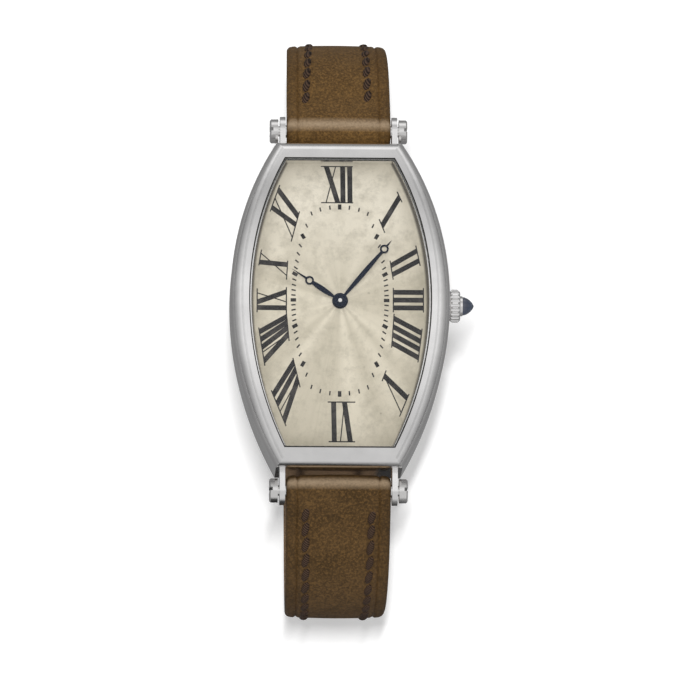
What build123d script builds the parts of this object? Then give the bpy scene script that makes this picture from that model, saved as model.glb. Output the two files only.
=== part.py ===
"""A barrel-shaped (tonneau) wristwatch, in millimetres.

The watch stands dial up on the flat tail of its unbuckled strap.
+X points to 3 o'clock and the crown, +Y to 12 o'clock, +Z up out of the dial.
The origin lies on the tail's underside, below the axis of the hands.
Heights called "rise" are measured outwards from the curved back of the case.
"""

import os
from math import asin, atan2, cos, degrees, hypot, pi, radians, sin, sqrt

from build123d import *

# How high the watch stands, and the curve of its case
case_base_height = 39.8
case_curve_radius = 47.8

# Case outline, seen from above
case_half_width = 13.1
case_half_length = 19.75
case_corner_half_width = 7.55
side_rail_width = 2.2
end_rail_width = 2.1
opening_corner_half_width = 6.6

# Case heights, as rises above the curved back
back_plate_thickness = 0.9
back_flange_width = 1.0
dial_seat_rise = 4.75
dial_thickness = 0.4
bezel_crest_rise = 7.6
bezel_round = 1.55
dial_rebate_width = 0.35
dial_side_clearance = 0.05
cavity_step = 0.8
case_fit_clearance = 0.03

# Crystal and its gasket
crystal_inner_rise = 6.95
crystal_thickness = 0.75
crystal_ledge_width = 0.28
crystal_gasket_width = 0.14
crystal_edge_round = 0.25

# Lugs, strap bars and their screws
lug_inner_half_gap = 6.4
lug_thickness = 0.65
bar_from_case = 2.2
bar_drop = 0.6
lug_end_radius = 1.75
lug_root_radius = 2.5
lug_root_inset = 2.2
lug_root_drop = 0.7
bar_radius = 0.75
bar_fit_clearance = 0.02
bar_bore_radius = 0.42
screw_neck_length = 0.21
screw_neck_radius = 0.62
screw_head_radius = 1.45
screw_head_thickness = 1.0
screw_head_round = 0.16
screw_slot_width = 0.42
screw_slot_depth = 0.4
screw_shank_radius = 0.4
screw_shank_length = 2.6

# Case back screws
back_screw_half_spread = 5.0
back_screw_inset = 2.15
back_screw_head_radius = 0.62
back_screw_head_thickness = 0.35
back_screw_shank_radius = 0.32
back_screw_shank_length = 1.7
back_screw_slot_width = 0.16
back_screw_slot_depth = 0.15

# Crown, tube and stem
stem_height = 2.55
crown_gap = 0.08
crown_radius = 2.0
crown_ring_thickness = 1.25
crown_edge_round = 0.3
crown_flutes = 22
crown_flute_radius = 0.2
crown_collar_radius = 1.2
crown_collar_thickness = 0.3
crown_boss_radius = 0.8
crown_boss_length = 1.1
cabochon_radius = 1.1
cabochon_height = 1.35
cabochon_seat_depth = 0.15
cabochon_shoulder_share = 0.5
cabochon_point_share = 0.3
crown_tube_radius = 1.1
crown_tube_wall = 0.25
crown_tube_reach = 2.6
crown_tube_recess = 0.06
stem_radius = 0.4
stem_inner_end = 4.4
crown_travel = 0.8

# Hands
hour_hand_height = 5.35
minute_hand_height = 5.66
hand_thickness = 0.12
hour_hand_angle = 146.0
minute_hand_angle = 50.0
hour_hand_length = 6.9
hour_ring_reach = 4.4
hour_hub_radius = 0.95
minute_hand_length = 9.65
minute_ring_reach = 8.2
minute_hub_radius = 0.8
hand_ring_radius = 0.53
hand_ring_bore_radius = 0.31
hour_leaf_width = 0.62
minute_leaf_width = 0.54
leaf_root_width = 0.3
leaf_end_width = 0.24
leaf_belly_share = 0.62
hand_tip_width = 0.3

# Running fits in the movement
running_clearance = 0.02
pivot_radius = 0.07

# Levels of the movement, as heights above the back at the centre
ratchet_level = 1.05
ratchet_thickness = 0.3
bridge_level = 1.4
bridge_thickness = 0.55
plate_level = 3.3
plate_thickness = 0.6
motion_level = 3.95
plate_radius = 8.8
bridge_radius = 8.6

# Tooth form, as shares of the module and of the pitch
tooth_root_share = 1.2
tooth_tip_share = 0.95
tooth_root_width_share = 0.56
tooth_tip_width_share = 0.24

# Wheel train: leaves, teeth and modules
barrel_teeth = 60
barrel_module = 0.115
centre_pinion_leaves = 10
centre_teeth = 48
centre_module = 0.1
third_pinion_leaves = 6
third_teeth = 45
third_module = 0.1
fourth_pinion_leaves = 6
fourth_teeth = 60
fourth_module = 0.065
escape_pinion_leaves = 6
escape_teeth = 15
escape_radius = 1.5
escape_root_radius = 1.18
escape_tip_share = 0.2
escape_back_share = 0.45
barrel_bearing = 60.0
third_bearing = 195.0
fourth_bearing = 285.0
escape_bearing = 330.0
wheel_thickness = 0.12
arbor_radius = 0.11
wheel_rim_width = 0.26
wheel_hub_radius = 0.42
wheel_arm_width = 0.24
wheel_arms = 4

# Heights of the wheels in the train
barrel_level = 2.05
barrel_tooth_thickness = 0.2
barrel_height = 0.85
barrel_drum_step = 0.15
barrel_wall = 0.2
barrel_cover_thickness = 0.12
barrel_arbor_radius = 0.75
barrel_pivot_radius = 0.4
centre_wheel_level = 3.04
centre_pinion_thickness = 0.24
centre_arbor_radius = 0.23
third_wheel_level = 2.4
third_pinion_level = 2.95
third_pinion_thickness = 0.26
fourth_pinion_level = 2.34
fourth_pinion_thickness = 0.22
fourth_wheel_level = 2.62
escape_pinion_level = 2.58
escape_pinion_thickness = 0.2
escape_wheel_level = 2.9

# Mainspring and hairspring strips
mainspring_turns = 6
mainspring_strip = 0.1
mainspring_height = 0.42
mainspring_inner_radius = 0.8
mainspring_outer_radius = 2.85
hairspring_turns = 5
hairspring_strip = 0.05
hairspring_height = 0.1
hairspring_inner_radius = 0.35
hairspring_outer_radius = 1.45
hairspring_level = 2.12
spiral_points_per_turn = 16

# Escapement and balance
pallet_reach = 1.75
pallet_arm_width = 0.26
pallet_arm_back = 0.32
pallet_arm_side = 0.98
pallet_hub_radius = 0.22
pallet_fork_length = 1.55
pallet_fork_depth = 0.5
pallet_fork_gap = 0.12
pallet_cock_level = 2.64
pallet_cock_thickness = 0.16
pallet_cock_width = 0.5
balance_bearing = -45.0
balance_reach = 5.6
balance_radius = 2.9
balance_rim_width = 0.3
balance_level = 2.34
balance_thickness = 0.24
balance_hub_radius = 0.4
balance_roller_radius = 0.3
roller_thickness = 0.1

# Keyless work
crown_wheel_x = 5.4
crown_wheel_teeth = 21
ratchet_teeth = 39
crown_wheel_thickness = 0.45
winding_pinion_x = 6.75
winding_pinion_radius = 1.1
winding_pinion_length = 0.6
winding_teeth = 14
sliding_pinion_x = 5.35
sliding_pinion_radius = 0.95
sliding_pinion_length = 1.25
sliding_groove_depth = 0.25
sliding_groove_width = 0.3
stem_slot_half_width = 1.25
stem_slot_depth = 0.4
stem_groove_radius = 0.25
setting_lever_x = 7.63
setting_lever_width = 0.4
setting_lever_middle = 0.55
setting_lever_length = 1.8
setting_lever_thickness = 0.25
setting_pin_radius = 0.13

# Motion work
cannon_leaves = 10
minute_teeth = 30
minute_pinion_leaves = 8
hour_teeth = 32
motion_module = 0.1
motion_thickness = 0.17
setting_teeth = 12
cannon_pipe_radius = 0.4
cannon_tip_reach = 0.06
hour_pipe_radius = 0.62
dial_hole_radius = 0.7
motion_pin_radius = 0.16
dial_foot_radius = 0.3
dial_foot_reach = 7.4
dial_foot_length = 0.45

# Bridges, pillars, screws and jewels
barrel_bridge_shares = [(-1, 0.17), (0.15, 0.17), (0.17, -0.18), (1, -0.18), (1, 1), (-1, 1)]
train_bridge_shares = [(-1, 0.15), (0.13, 0.15), (0.13, -1), (-1, -1)]
barrel_pillar_shares = [(-0.51, 0.59), (0.75, 0.523)]
train_pillar_shares = [(-0.75, -0.14), (-0.52, -0.61), (-0.07, -0.82)]
cock_pillar_shares = (0.88, -0.27)
pallet_pillar_shares = (0.18, -0.75)
pillar_radius = 0.75
cock_pillar_radius = 0.55
cock_eye_radius = 0.9
winding_window_margin = 0.1
sliding_recess_depth = 0.4
bridge_screw_head_radius = 0.42
bridge_screw_head_thickness = 0.2
bridge_screw_shank_radius = 0.2
bridge_screw_shank_length = 1.5
jewel_radius = 0.3
jewel_thickness = 0.22
click_pivot_x = -2.35
click_pivot_y = 5.5
click_width = 0.5
click_gap = 0.05
ring_low_rise = 0.95
ring_high_rise = 4.6
ring_fit_clearance = 0.03

# Strap
strap_width_at_lugs = 12.5
strap_width_at_end = 11.0
strap_thick_half = 1.6
strap_thin_half = 1.1
strap_lining_thickness = 0.5
strap_roll_radius = 1.95
strap_bar_clearance = 0.05
lining_start = 1.75
strap_fall_angle = 20.0
strap_straight_length = 5.1
strap_shoulder_radius = 11.0
short_curl_radius = 12.5
short_curl_angle = 106.0
short_end_length = 15.0
tail_end_y = 30.0
tail_tip_length = 7.0
tail_tip_half_width = 1.2
tip_belly_share = 0.86
tip_rise_share = 0.4
strap_holes = 7
strap_hole_radius = 0.8
strap_hole_pitch = 4.6
strap_first_hole_from_end = 8.8

# Keepers
keeper_width = 3.2
keeper_thickness = 0.75
keeper_side_clearance = 0.12
keeper_face_clearance = 0.04
keeper_room = 2.5
fixed_keeper_from_end = 2.9
free_keeper_from_end = 12.2

# Buckle
buckle_bar_radius = 0.6
buckle_bar_from_strap = 1.15
buckle_length = 9.2
buckle_side_width = 1.1
buckle_wire_radius = 0.85
buckle_eye_reach = 0.95
buckle_edge_round = 0.35
buckle_inner_half_width = 6.05
buckle_roll_radius = 1.3
tongue_width = 1.3
tongue_thickness = 0.6
tongue_eye_radius = 1.05
tongue_gap = 0.06
tongue_slot_clearance = 0.25
tongue_slot_reach = 1.3
tongue_overhang = 0.4

# Cuts run this far past what they cut
overrun = 3.0

# Sizes that follow from the ones above
curve_centre_height = case_base_height - case_curve_radius
bar_height = case_base_height - bar_drop
bar_reach = case_half_length + bar_from_case
case_height = 2 * case_half_length
back_screw_angle = degrees(asin((case_half_length - back_screw_inset) / case_curve_radius))
opening_half_width = case_half_width - side_rail_width
opening_half_length = case_half_length - end_rail_width
bezel_seat_rise = dial_seat_rise + dial_thickness
stem_axis_height = case_base_height + stem_height
strap_half_width = strap_width_at_lugs / 2
strap_end_half_width = strap_width_at_end / 2

os.makedirs("parts", exist_ok=True)


def finish(piece, name):
    """Label a finished piece and write it to its own file."""
    piece.label = name
    export_step(piece, f"parts/{name}.step")


def level(height):
    """A flat plane at a height above the back of the case, at its centre."""
    return Plane.XY.offset(case_base_height + height)


def polar(reach, bearing):
    """A point of the dial plane, from its distance and bearing."""
    return (reach * cos(radians(bearing)), reach * sin(radians(bearing)))


def barrel_face(plane, half_width, half_length, corner_half_width, grow=0.0):
    """The barrel outline: straight ends, and sides that are one arc each."""
    bulge = half_width - corner_half_width
    side_radius = (half_length**2 + bulge**2) / (2 * bulge)
    arc_centre = half_width - side_radius
    length = half_length + grow
    width = half_width + grow
    corner = arc_centre + sqrt((side_radius + grow) ** 2 - length**2)
    with BuildSketch(plane) as outline:
        with BuildLine():
            ThreePointArc((corner, -length), (width, 0), (corner, length))
            Line((corner, length), (-corner, length))
            ThreePointArc((-corner, length), (-width, 0), (-corner, -length))
            Line((-corner, -length), (corner, -length))
        make_face()
    return outline.sketch


def case_face(grow=0.0):
    """The outside outline of the case, low enough to extrude upwards."""
    plane = Plane.XY.offset(case_base_height - case_half_length)
    return barrel_face(plane, case_half_width, case_half_length, case_corner_half_width, grow)


def opening_face(grow=0.0):
    """The outline of the bezel's opening, low enough to extrude upwards."""
    plane = Plane.XY.offset(case_base_height - case_half_length)
    return barrel_face(plane, opening_half_width, opening_half_length, opening_corner_half_width, grow)


def band_face(low_rise, high_rise):
    """The side view of a band that follows the curve of the case."""
    with BuildSketch(Plane.YZ) as band:
        with Locations((0, curve_centre_height)):
            Circle(case_curve_radius + high_rise)
            Circle(case_curve_radius + low_rise, mode=Mode.SUBTRACT)
    return band.sketch


def radial_plane(across, angle, rise):
    """A plane that stands on the curve of the case and faces outwards."""
    reach = case_curve_radius + rise
    turn = radians(angle)
    origin = (across, reach * sin(turn), curve_centre_height + reach * cos(turn))
    return Plane(origin=origin, x_dir=(1, 0, 0), z_dir=(0, sin(turn), cos(turn)))


def stem_plane(across):
    """A plane across the winding stem that faces the crown."""
    return Plane.YZ.offset(across).shift_origin((across, 0, stem_axis_height))


# Case body with its four lugs
with BuildPart() as case_body:
    extrude(case_face(), amount=case_height)
    extrude(band_face(0, bezel_seat_rise), amount=case_height, both=True, mode=Mode.INTERSECT)
    for side in (-1, 1):
        lug_start = lug_inner_half_gap if side > 0 else -lug_inner_half_gap - lug_thickness
        for end in (-1, 1):
            with BuildSketch(Plane.YZ.offset(lug_start)):
                with Locations((end * bar_reach, bar_height)):
                    Circle(lug_end_radius)
                with Locations((end * (case_half_length - lug_root_inset), bar_height - lug_root_drop)):
                    Circle(lug_root_radius)
                make_hull()
            extrude(amount=lug_thickness)
    # the movement's room, the dial's seat and the seat of the back plate
    extrude(opening_face(-cavity_step), amount=case_height, mode=Mode.SUBTRACT)
    with BuildPart(mode=Mode.PRIVATE) as dial_room:
        extrude(opening_face(dial_rebate_width), amount=case_height)
        extrude(band_face(dial_seat_rise, bezel_crest_rise), amount=case_height,
                both=True, mode=Mode.INTERSECT)
    add(dial_room.part, mode=Mode.SUBTRACT)
    with BuildPart(mode=Mode.PRIVATE) as back_room:
        extrude(case_face(-back_flange_width), amount=case_height)
        extrude(band_face(-overrun, back_plate_thickness), amount=case_height, both=True, mode=Mode.INTERSECT)
    add(back_room.part, mode=Mode.SUBTRACT)
    # bores for the strap bars, the crown tube and the back's screws
    for end in (-1, 1):
        with BuildSketch(Plane.YZ.offset(-case_half_width)):
            with Locations((end * bar_reach, bar_height)):
                Circle(bar_radius + bar_fit_clearance)
        extrude(amount=2 * case_half_width, mode=Mode.SUBTRACT)
    with BuildSketch(stem_plane(0)):
        Circle(crown_tube_radius + case_fit_clearance)
    extrude(amount=case_half_width + overrun, mode=Mode.SUBTRACT)
    for across in (-back_screw_half_spread, back_screw_half_spread):
        for angle in (-back_screw_angle, back_screw_angle):
            with BuildSketch(radial_plane(across, angle, 0)):
                Circle(back_screw_shank_radius + case_fit_clearance)
            extrude(amount=back_plate_thickness + back_screw_shank_length, mode=Mode.SUBTRACT)
finish(case_body.part, "case_body")

# Bezel, whose rounded rails meet in mitred corners
case_bulge = case_half_width - case_corner_half_width
case_side_radius = (case_half_length**2 + case_bulge**2) / (2 * case_bulge)
with BuildSketch(Plane.YZ) as bezel_side_view:
    with Locations((0, curve_centre_height)):
        Circle(case_curve_radius + bezel_crest_rise)
        Circle(case_curve_radius + bezel_seat_rise, mode=Mode.SUBTRACT)
    with Locations((0, case_base_height)):
        Rectangle(2 * case_half_length, 2 * case_half_length, mode=Mode.INTERSECT)
    end_corners = bezel_side_view.vertices().group_by(Axis.X)
    fillet([corners.sort_by(Axis.Y)[-1] for corners in (end_corners[0], end_corners[-1])], radius=bezel_round)

with BuildPart() as bezel:
    # a longer blank, so that the rounding of the sides runs out past both ends
    with BuildSketch(Plane.XY.offset(case_base_height - case_half_length)):
        with Locations((case_half_width - case_side_radius, 0)):
            Circle(case_side_radius)
        with Locations((case_side_radius - case_half_width, 0)):
            Circle(case_side_radius, mode=Mode.INTERSECT)
        Rectangle(2 * case_half_width, 2 * (case_half_length + overrun), mode=Mode.INTERSECT)
    extrude(amount=case_height)
    extrude(band_face(bezel_seat_rise, bezel_crest_rise), amount=case_height, both=True, mode=Mode.INTERSECT)
    crest_edges = bezel.faces().sort_by(Axis.Z)[-1].outer_wire().edges().sort_by(Axis.X)
    fillet([crest_edges[0], crest_edges[-1]], radius=bezel_round)
    extrude(bezel_side_view.sketch, amount=case_height, both=True, mode=Mode.INTERSECT)
    with BuildPart(mode=Mode.PRIVATE) as crystal_room:
        extrude(opening_face(), amount=case_height)
        extrude(band_face(crystal_inner_rise, bezel_crest_rise + overrun), amount=case_height, both=True,
                mode=Mode.INTERSECT)
    add(crystal_room.part, mode=Mode.SUBTRACT)
    extrude(opening_face(-crystal_ledge_width), amount=case_height, mode=Mode.SUBTRACT)
finish(bezel.part, "bezel")

# Crystal, curved like the case, and the gasket under it
with BuildPart() as crystal:
    extrude(opening_face(-crystal_gasket_width), amount=case_height)
    extrude(band_face(crystal_inner_rise, crystal_inner_rise + crystal_thickness), amount=case_height,
            both=True, mode=Mode.INTERSECT)
    chamfer(crystal.faces().sort_by(Axis.Z)[-1].outer_wire().edges(), length=crystal_edge_round)
finish(crystal.part, "crystal")

with BuildPart() as crystal_gasket:
    extrude(opening_face(), amount=case_height)
    extrude(opening_face(-crystal_gasket_width), amount=case_height, mode=Mode.SUBTRACT)
    extrude(band_face(crystal_inner_rise, bezel_crest_rise - crystal_edge_round), amount=case_height,
            both=True, mode=Mode.INTERSECT)
finish(crystal_gasket.part, "crystal_gasket")

# Dial, bent to the same curve, with two feet that stand in the main plate
with BuildPart() as dial:
    extrude(opening_face(dial_rebate_width - dial_side_clearance), amount=case_height)
    extrude(band_face(dial_seat_rise, bezel_seat_rise), amount=case_height, both=True, mode=Mode.INTERSECT)
    for end in (-1, 1):
        foot_place = Plane(origin=(0, end * dial_foot_reach,
                            case_base_height + plate_level + plate_thickness))
        with BuildSketch(foot_place.offset(-dial_foot_length)):
            Circle(dial_foot_radius)
        extrude(amount=2 * dial_foot_length)
    with BuildSketch(level(0)):
        Circle(dial_hole_radius)
    extrude(amount=case_height, mode=Mode.SUBTRACT)
finish(dial.part, "dial")

# Case back, let into the case body
with BuildPart() as case_back:
    extrude(case_face(-back_flange_width - case_fit_clearance), amount=case_height)
    extrude(band_face(0, back_plate_thickness), amount=case_height, both=True, mode=Mode.INTERSECT)
    for across in (-back_screw_half_spread, back_screw_half_spread):
        for angle in (-back_screw_angle, back_screw_angle):
            with BuildSketch(radial_plane(across, angle, -overrun)):
                Circle(back_screw_head_radius + case_fit_clearance)
            extrude(amount=overrun + back_screw_head_thickness, mode=Mode.SUBTRACT)
            with BuildSketch(radial_plane(across, angle, 0)):
                Circle(back_screw_shank_radius + case_fit_clearance)
            extrude(amount=back_plate_thickness + overrun, mode=Mode.SUBTRACT)
finish(case_back.part, "case_back")

with BuildPart() as case_screws:
    for across in (-back_screw_half_spread, back_screw_half_spread):
        for angle in (-back_screw_angle, back_screw_angle):
            with BuildSketch(radial_plane(across, angle, 0)):
                Circle(back_screw_head_radius)
            extrude(amount=back_screw_head_thickness)
            with BuildSketch(radial_plane(across, angle, 0)):
                Circle(back_screw_shank_radius)
            extrude(amount=back_plate_thickness + back_screw_shank_length)
            with BuildSketch(radial_plane(across, angle, 0)):
                Rectangle(3 * back_screw_head_radius, back_screw_slot_width)
            extrude(amount=back_screw_slot_depth, mode=Mode.SUBTRACT)
finish(case_screws.part, "case_screws")

# Strap bars and the slotted screws that hold them between the lugs
lug_outer = lug_inner_half_gap + lug_thickness
for name, end in (("strap_bar_upper", 1), ("strap_bar_lower", -1)):
    with BuildPart() as strap_bar:
        with BuildSketch(Plane.YZ.offset(-lug_outer)):
            with Locations((end * bar_reach, bar_height)):
                Circle(bar_radius)
        extrude(amount=2 * lug_outer)
        for start in (-lug_outer, lug_outer - screw_shank_length):
            with BuildSketch(Plane.YZ.offset(start)):
                with Locations((end * bar_reach, bar_height)):
                    Circle(bar_bore_radius)
            extrude(amount=screw_shank_length, mode=Mode.SUBTRACT)
    finish(strap_bar.part, name)

with BuildPart() as strap_screws:
    for end in (-1, 1):
        for side in (-1, 1):
            centre = (side * lug_outer, end * bar_reach, bar_height)
            outward = Plane(origin=centre, x_dir=(0, 0, 1), z_dir=(side, 0, 0))
            with BuildSketch(outward.offset(-screw_shank_length + screw_neck_length)):
                Circle(screw_shank_radius)
            extrude(amount=screw_shank_length)
            with BuildSketch(outward):
                Circle(screw_neck_radius)
            extrude(amount=screw_neck_length)
            with BuildSketch(outward.offset(screw_neck_length)):
                Circle(screw_head_radius)
            head = extrude(amount=screw_head_thickness)
            rim = head.faces().sort_by(Axis((0, 0, 0), (side, 0, 0)))[-1].edges()
            chamfer(rim, length=screw_head_round)
            slot_floor = screw_neck_length + screw_head_thickness - screw_slot_depth
            with BuildSketch(outward.offset(slot_floor)):
                Rectangle(3 * screw_head_radius, screw_slot_width)
            extrude(amount=screw_slot_depth + overrun, mode=Mode.SUBTRACT)
finish(strap_screws.part, "strap_screws")

# Crown tube, fixed in the case wall
tube_outer_end = case_half_width - crown_tube_recess
with BuildPart() as crown_tube:
    with BuildSketch(stem_plane(tube_outer_end - crown_tube_reach)):
        Circle(crown_tube_radius)
        Circle(crown_tube_radius - crown_tube_wall, mode=Mode.SUBTRACT)
    extrude(amount=crown_tube_reach)
finish(crown_tube.part, "crown_tube")

# Crown: a fluted ring, a collar that holds the cabochon, and a boss inside the tube
crown_start = case_half_width + crown_gap
crown_ring_end = crown_start + crown_ring_thickness
collar_end = crown_ring_end + crown_collar_thickness
with BuildPart() as crown:
    with BuildSketch(stem_plane(crown_start)):
        Circle(crown_radius)
        with PolarLocations(crown_radius, crown_flutes):
            Circle(crown_flute_radius, mode=Mode.SUBTRACT)
    extrude(amount=crown_ring_thickness)
    with BuildSketch(Plane.XZ.shift_origin((0, 0, stem_axis_height))) as crown_bevels:
        with BuildLine():
            Polyline(
                (crown_start, crown_radius - crown_edge_round),
                (crown_start + crown_edge_round, crown_radius),
                (crown_ring_end - crown_edge_round, crown_radius),
                (crown_ring_end, crown_radius - crown_edge_round),
                (crown_ring_end, crown_radius + overrun),
                (crown_start, crown_radius + overrun),
                close=True,
            )
        make_face()
    revolve(axis=Axis((0, 0, stem_axis_height), (1, 0, 0)), mode=Mode.SUBTRACT)
    with BuildSketch(stem_plane(crown_start - crown_boss_length)):
        Circle(crown_boss_radius)
    extrude(amount=crown_boss_length)
    with BuildSketch(stem_plane(crown_ring_end)):
        Circle(crown_collar_radius)
    extrude(amount=crown_collar_thickness)
    with BuildSketch(stem_plane(collar_end - cabochon_seat_depth)):
        Circle(cabochon_radius)
    extrude(amount=cabochon_seat_depth, mode=Mode.SUBTRACT)
    with BuildSketch(stem_plane(crown_start - crown_boss_length)):
        Circle(stem_radius)
    extrude(amount=crown_boss_length, mode=Mode.SUBTRACT)
finish(crown.part, "crown")

# Cabochon, a dome that comes to a soft point
cabochon_base = collar_end - cabochon_seat_depth
with BuildPart() as crown_cabochon:
    with BuildSketch(Plane.XZ.shift_origin((0, 0, stem_axis_height))):
        with BuildLine():
            Line((cabochon_base, 0), (cabochon_base, cabochon_radius))
            Line((cabochon_base, cabochon_radius), (collar_end, cabochon_radius))
            Bezier(
                (collar_end, cabochon_radius),
                (collar_end + cabochon_shoulder_share * cabochon_height, cabochon_radius),
                (collar_end + cabochon_height, cabochon_point_share * cabochon_radius),
                (collar_end + cabochon_height, 0),
            )
            Line((collar_end + cabochon_height, 0), (cabochon_base, 0))
        make_face()
    revolve(axis=Axis((0, 0, stem_axis_height), (1, 0, 0)))
finish(crown_cabochon.part, "crown_cabochon")


def hand_face(plane, length, ring_reach, hub_radius, leaf_width, bore_radius):
    """A hand that lies along X: hub, leaf, open ring and pointed tip."""
    belly = hub_radius + (ring_reach - hub_radius) * leaf_belly_share
    with BuildSketch(plane) as hand:
        with BuildLine():
            Line((0, -leaf_root_width / 2), (0, leaf_root_width / 2))
            Line((0, leaf_root_width / 2), (hub_radius, leaf_root_width / 2))
            ThreePointArc(
                (hub_radius, leaf_root_width / 2),
                (belly, leaf_width / 2),
                (ring_reach, leaf_end_width / 2),
            )
            Line((ring_reach, leaf_end_width / 2), (ring_reach, -leaf_end_width / 2))
            ThreePointArc(
                (ring_reach, -leaf_end_width / 2),
                (belly, -leaf_width / 2),
                (hub_radius, -leaf_root_width / 2),
            )
            Line((hub_radius, -leaf_root_width / 2), (0, -leaf_root_width / 2))
        make_face()
        Circle(hub_radius)
        with Locations((ring_reach, 0)):
            Circle(hand_ring_radius)
        with BuildLine():
            Polyline(
                (ring_reach + hand_ring_bore_radius, -hand_tip_width / 2),
                (length, 0),
                (ring_reach + hand_ring_bore_radius, hand_tip_width / 2),
                close=True,
            )
        make_face()
        with Locations((ring_reach, 0)):
            Circle(hand_ring_bore_radius, mode=Mode.SUBTRACT)
        Circle(bore_radius, mode=Mode.SUBTRACT)
    return hand.sketch


with BuildPart() as hour_hand:
    hour_place = level(hour_hand_height).rotated((0, 0, hour_hand_angle))
    extrude(hand_face(hour_place, hour_hand_length, hour_ring_reach, hour_hub_radius, hour_leaf_width,
                      hour_pipe_radius), amount=hand_thickness)
finish(hour_hand.part, "hour_hand")

with BuildPart() as minute_hand:
    minute_place = level(minute_hand_height).rotated((0, 0, minute_hand_angle))
    extrude(hand_face(minute_place, minute_hand_length, minute_ring_reach, minute_hub_radius,
                      minute_leaf_width, cannon_pipe_radius), amount=hand_thickness)
finish(minute_hand.part, "minute_hand")


def place(centre, height, phase=0.0):
    """A flat plane over a point of the movement, turned by a phase in degrees."""
    origin = (centre[0], centre[1], case_base_height + height)
    return Plane(origin=origin).rotated((0, 0, phase))


def disc_face(plane, radius, bore_radius=0.0):
    """A disc, with a bore if one is given."""
    with BuildSketch(plane) as disc:
        Circle(radius)
        if bore_radius:
            Circle(bore_radius, mode=Mode.SUBTRACT)
    return disc.sketch


def gear_face(plane, teeth, tooth_module, bore_radius=0.0):
    """A toothed disc, with one tooth centred on the plane's X direction."""
    pitch_radius = teeth * tooth_module / 2
    root = pitch_radius - tooth_root_share * tooth_module
    tip = pitch_radius + tooth_tip_share * tooth_module
    flank = ((root, -tooth_root_width_share), (tip, -tooth_tip_width_share),
             (tip, tooth_tip_width_share), (root, tooth_root_width_share))
    corners = []
    for tooth in range(teeth):
        for reach, share in flank:
            turn = 2 * pi * (tooth + share / 2) / teeth
            corners.append((reach * cos(turn), reach * sin(turn)))
    with BuildSketch(plane) as gear:
        with BuildLine():
            Polyline(*corners, close=True)
        make_face()
        if bore_radius:
            Circle(bore_radius, mode=Mode.SUBTRACT)
    return gear.sketch


def crossings_face(plane, rim_radius):
    """The windows between the arms of a wheel."""
    with BuildSketch(plane) as windows:
        Circle(rim_radius)
        Circle(wheel_hub_radius, mode=Mode.SUBTRACT)
        with PolarLocations(0, wheel_arms // 2, angular_range=180):
            Rectangle(3 * rim_radius, wheel_arm_width, mode=Mode.SUBTRACT)
    return windows.sketch


def meshed_phase(bearing, leader_phase, leader_teeth, teeth):
    """The phase that puts a wheel's gap on its leader's tooth, along the bearing between them."""
    leader_share = (bearing - leader_phase) * leader_teeth / 360
    return bearing + 180 - (0.5 - leader_share) * 360 / teeth


def mesh_distance(teeth, other_teeth, tooth_module):
    """How far apart the centres of two wheels in mesh lie."""
    return (teeth + other_teeth) * tooth_module / 2


def step_from(start, reach, bearing):
    """A point at a distance and bearing from another."""
    across, along = polar(reach, bearing)
    return (start[0] + across, start[1] + along)


# Centres of the movement's wheels, from their teeth and modules
centre_centre = (0.0, 0.0)
barrel_centre = polar(mesh_distance(barrel_teeth, centre_pinion_leaves, barrel_module), barrel_bearing)
third_centre = polar(mesh_distance(centre_teeth, third_pinion_leaves, centre_module), third_bearing)
fourth_reach = mesh_distance(third_teeth, fourth_pinion_leaves, third_module)
fourth_centre = step_from(third_centre, fourth_reach, fourth_bearing)
escape_reach = mesh_distance(fourth_teeth, escape_pinion_leaves, fourth_module)
escape_centre = step_from(fourth_centre, escape_reach, escape_bearing)
balance_centre = polar(balance_reach, balance_bearing)
pallet_bearing = degrees(atan2(balance_centre[1] - escape_centre[1],
                               balance_centre[0] - escape_centre[0]))
pallet_centre = step_from(escape_centre, pallet_reach, pallet_bearing)
crown_wheel_centre = (crown_wheel_x, 0.0)
ratchet_distance = hypot(crown_wheel_x - barrel_centre[0], barrel_centre[1])
ratchet_bearing = degrees(atan2(barrel_centre[1], barrel_centre[0] - crown_wheel_x))
winding_module = 2 * ratchet_distance / (crown_wheel_teeth + ratchet_teeth)
minute_wheel_centre = (mesh_distance(cannon_leaves, minute_teeth, motion_module), 0.0)
setting_centre = step_from(minute_wheel_centre,
                           mesh_distance(minute_teeth, setting_teeth, motion_module), 0.0)

# Phases that put each pair in mesh
centre_pinion_phase = meshed_phase(barrel_bearing + 180, 0, barrel_teeth, centre_pinion_leaves)
third_pinion_phase = meshed_phase(third_bearing, 0, centre_teeth, third_pinion_leaves)
fourth_pinion_phase = meshed_phase(fourth_bearing, 0, third_teeth, fourth_pinion_leaves)
escape_pinion_phase = meshed_phase(escape_bearing, 0, fourth_teeth, escape_pinion_leaves)
ratchet_phase = meshed_phase(ratchet_bearing, 0, crown_wheel_teeth, ratchet_teeth)
minute_wheel_phase = meshed_phase(0, 0, cannon_leaves, minute_teeth)
minute_pinion_phase = 0.0
hour_wheel_phase = meshed_phase(180, minute_pinion_phase, minute_pinion_leaves, hour_teeth)
setting_phase = meshed_phase(0, minute_wheel_phase, minute_teeth, setting_teeth)

plate_top = plate_level + plate_thickness
pivot_low = bridge_level + running_clearance
pivot_high = plate_top - running_clearance
bore = pivot_radius + running_clearance
train_pivots = (third_centre, fourth_centre, escape_centre)


def on_plate(shares):
    """A point of the main plate, given as shares of its radius."""
    return (shares[0] * plate_radius, shares[1] * plate_radius)


# Pillars that carry the bridges
barrel_pillars = [on_plate(shares) for shares in barrel_pillar_shares]
train_pillars = [on_plate(shares) for shares in train_pillar_shares]
cock_pillar = on_plate(cock_pillar_shares)
pallet_pillar = on_plate(pallet_pillar_shares)

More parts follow.
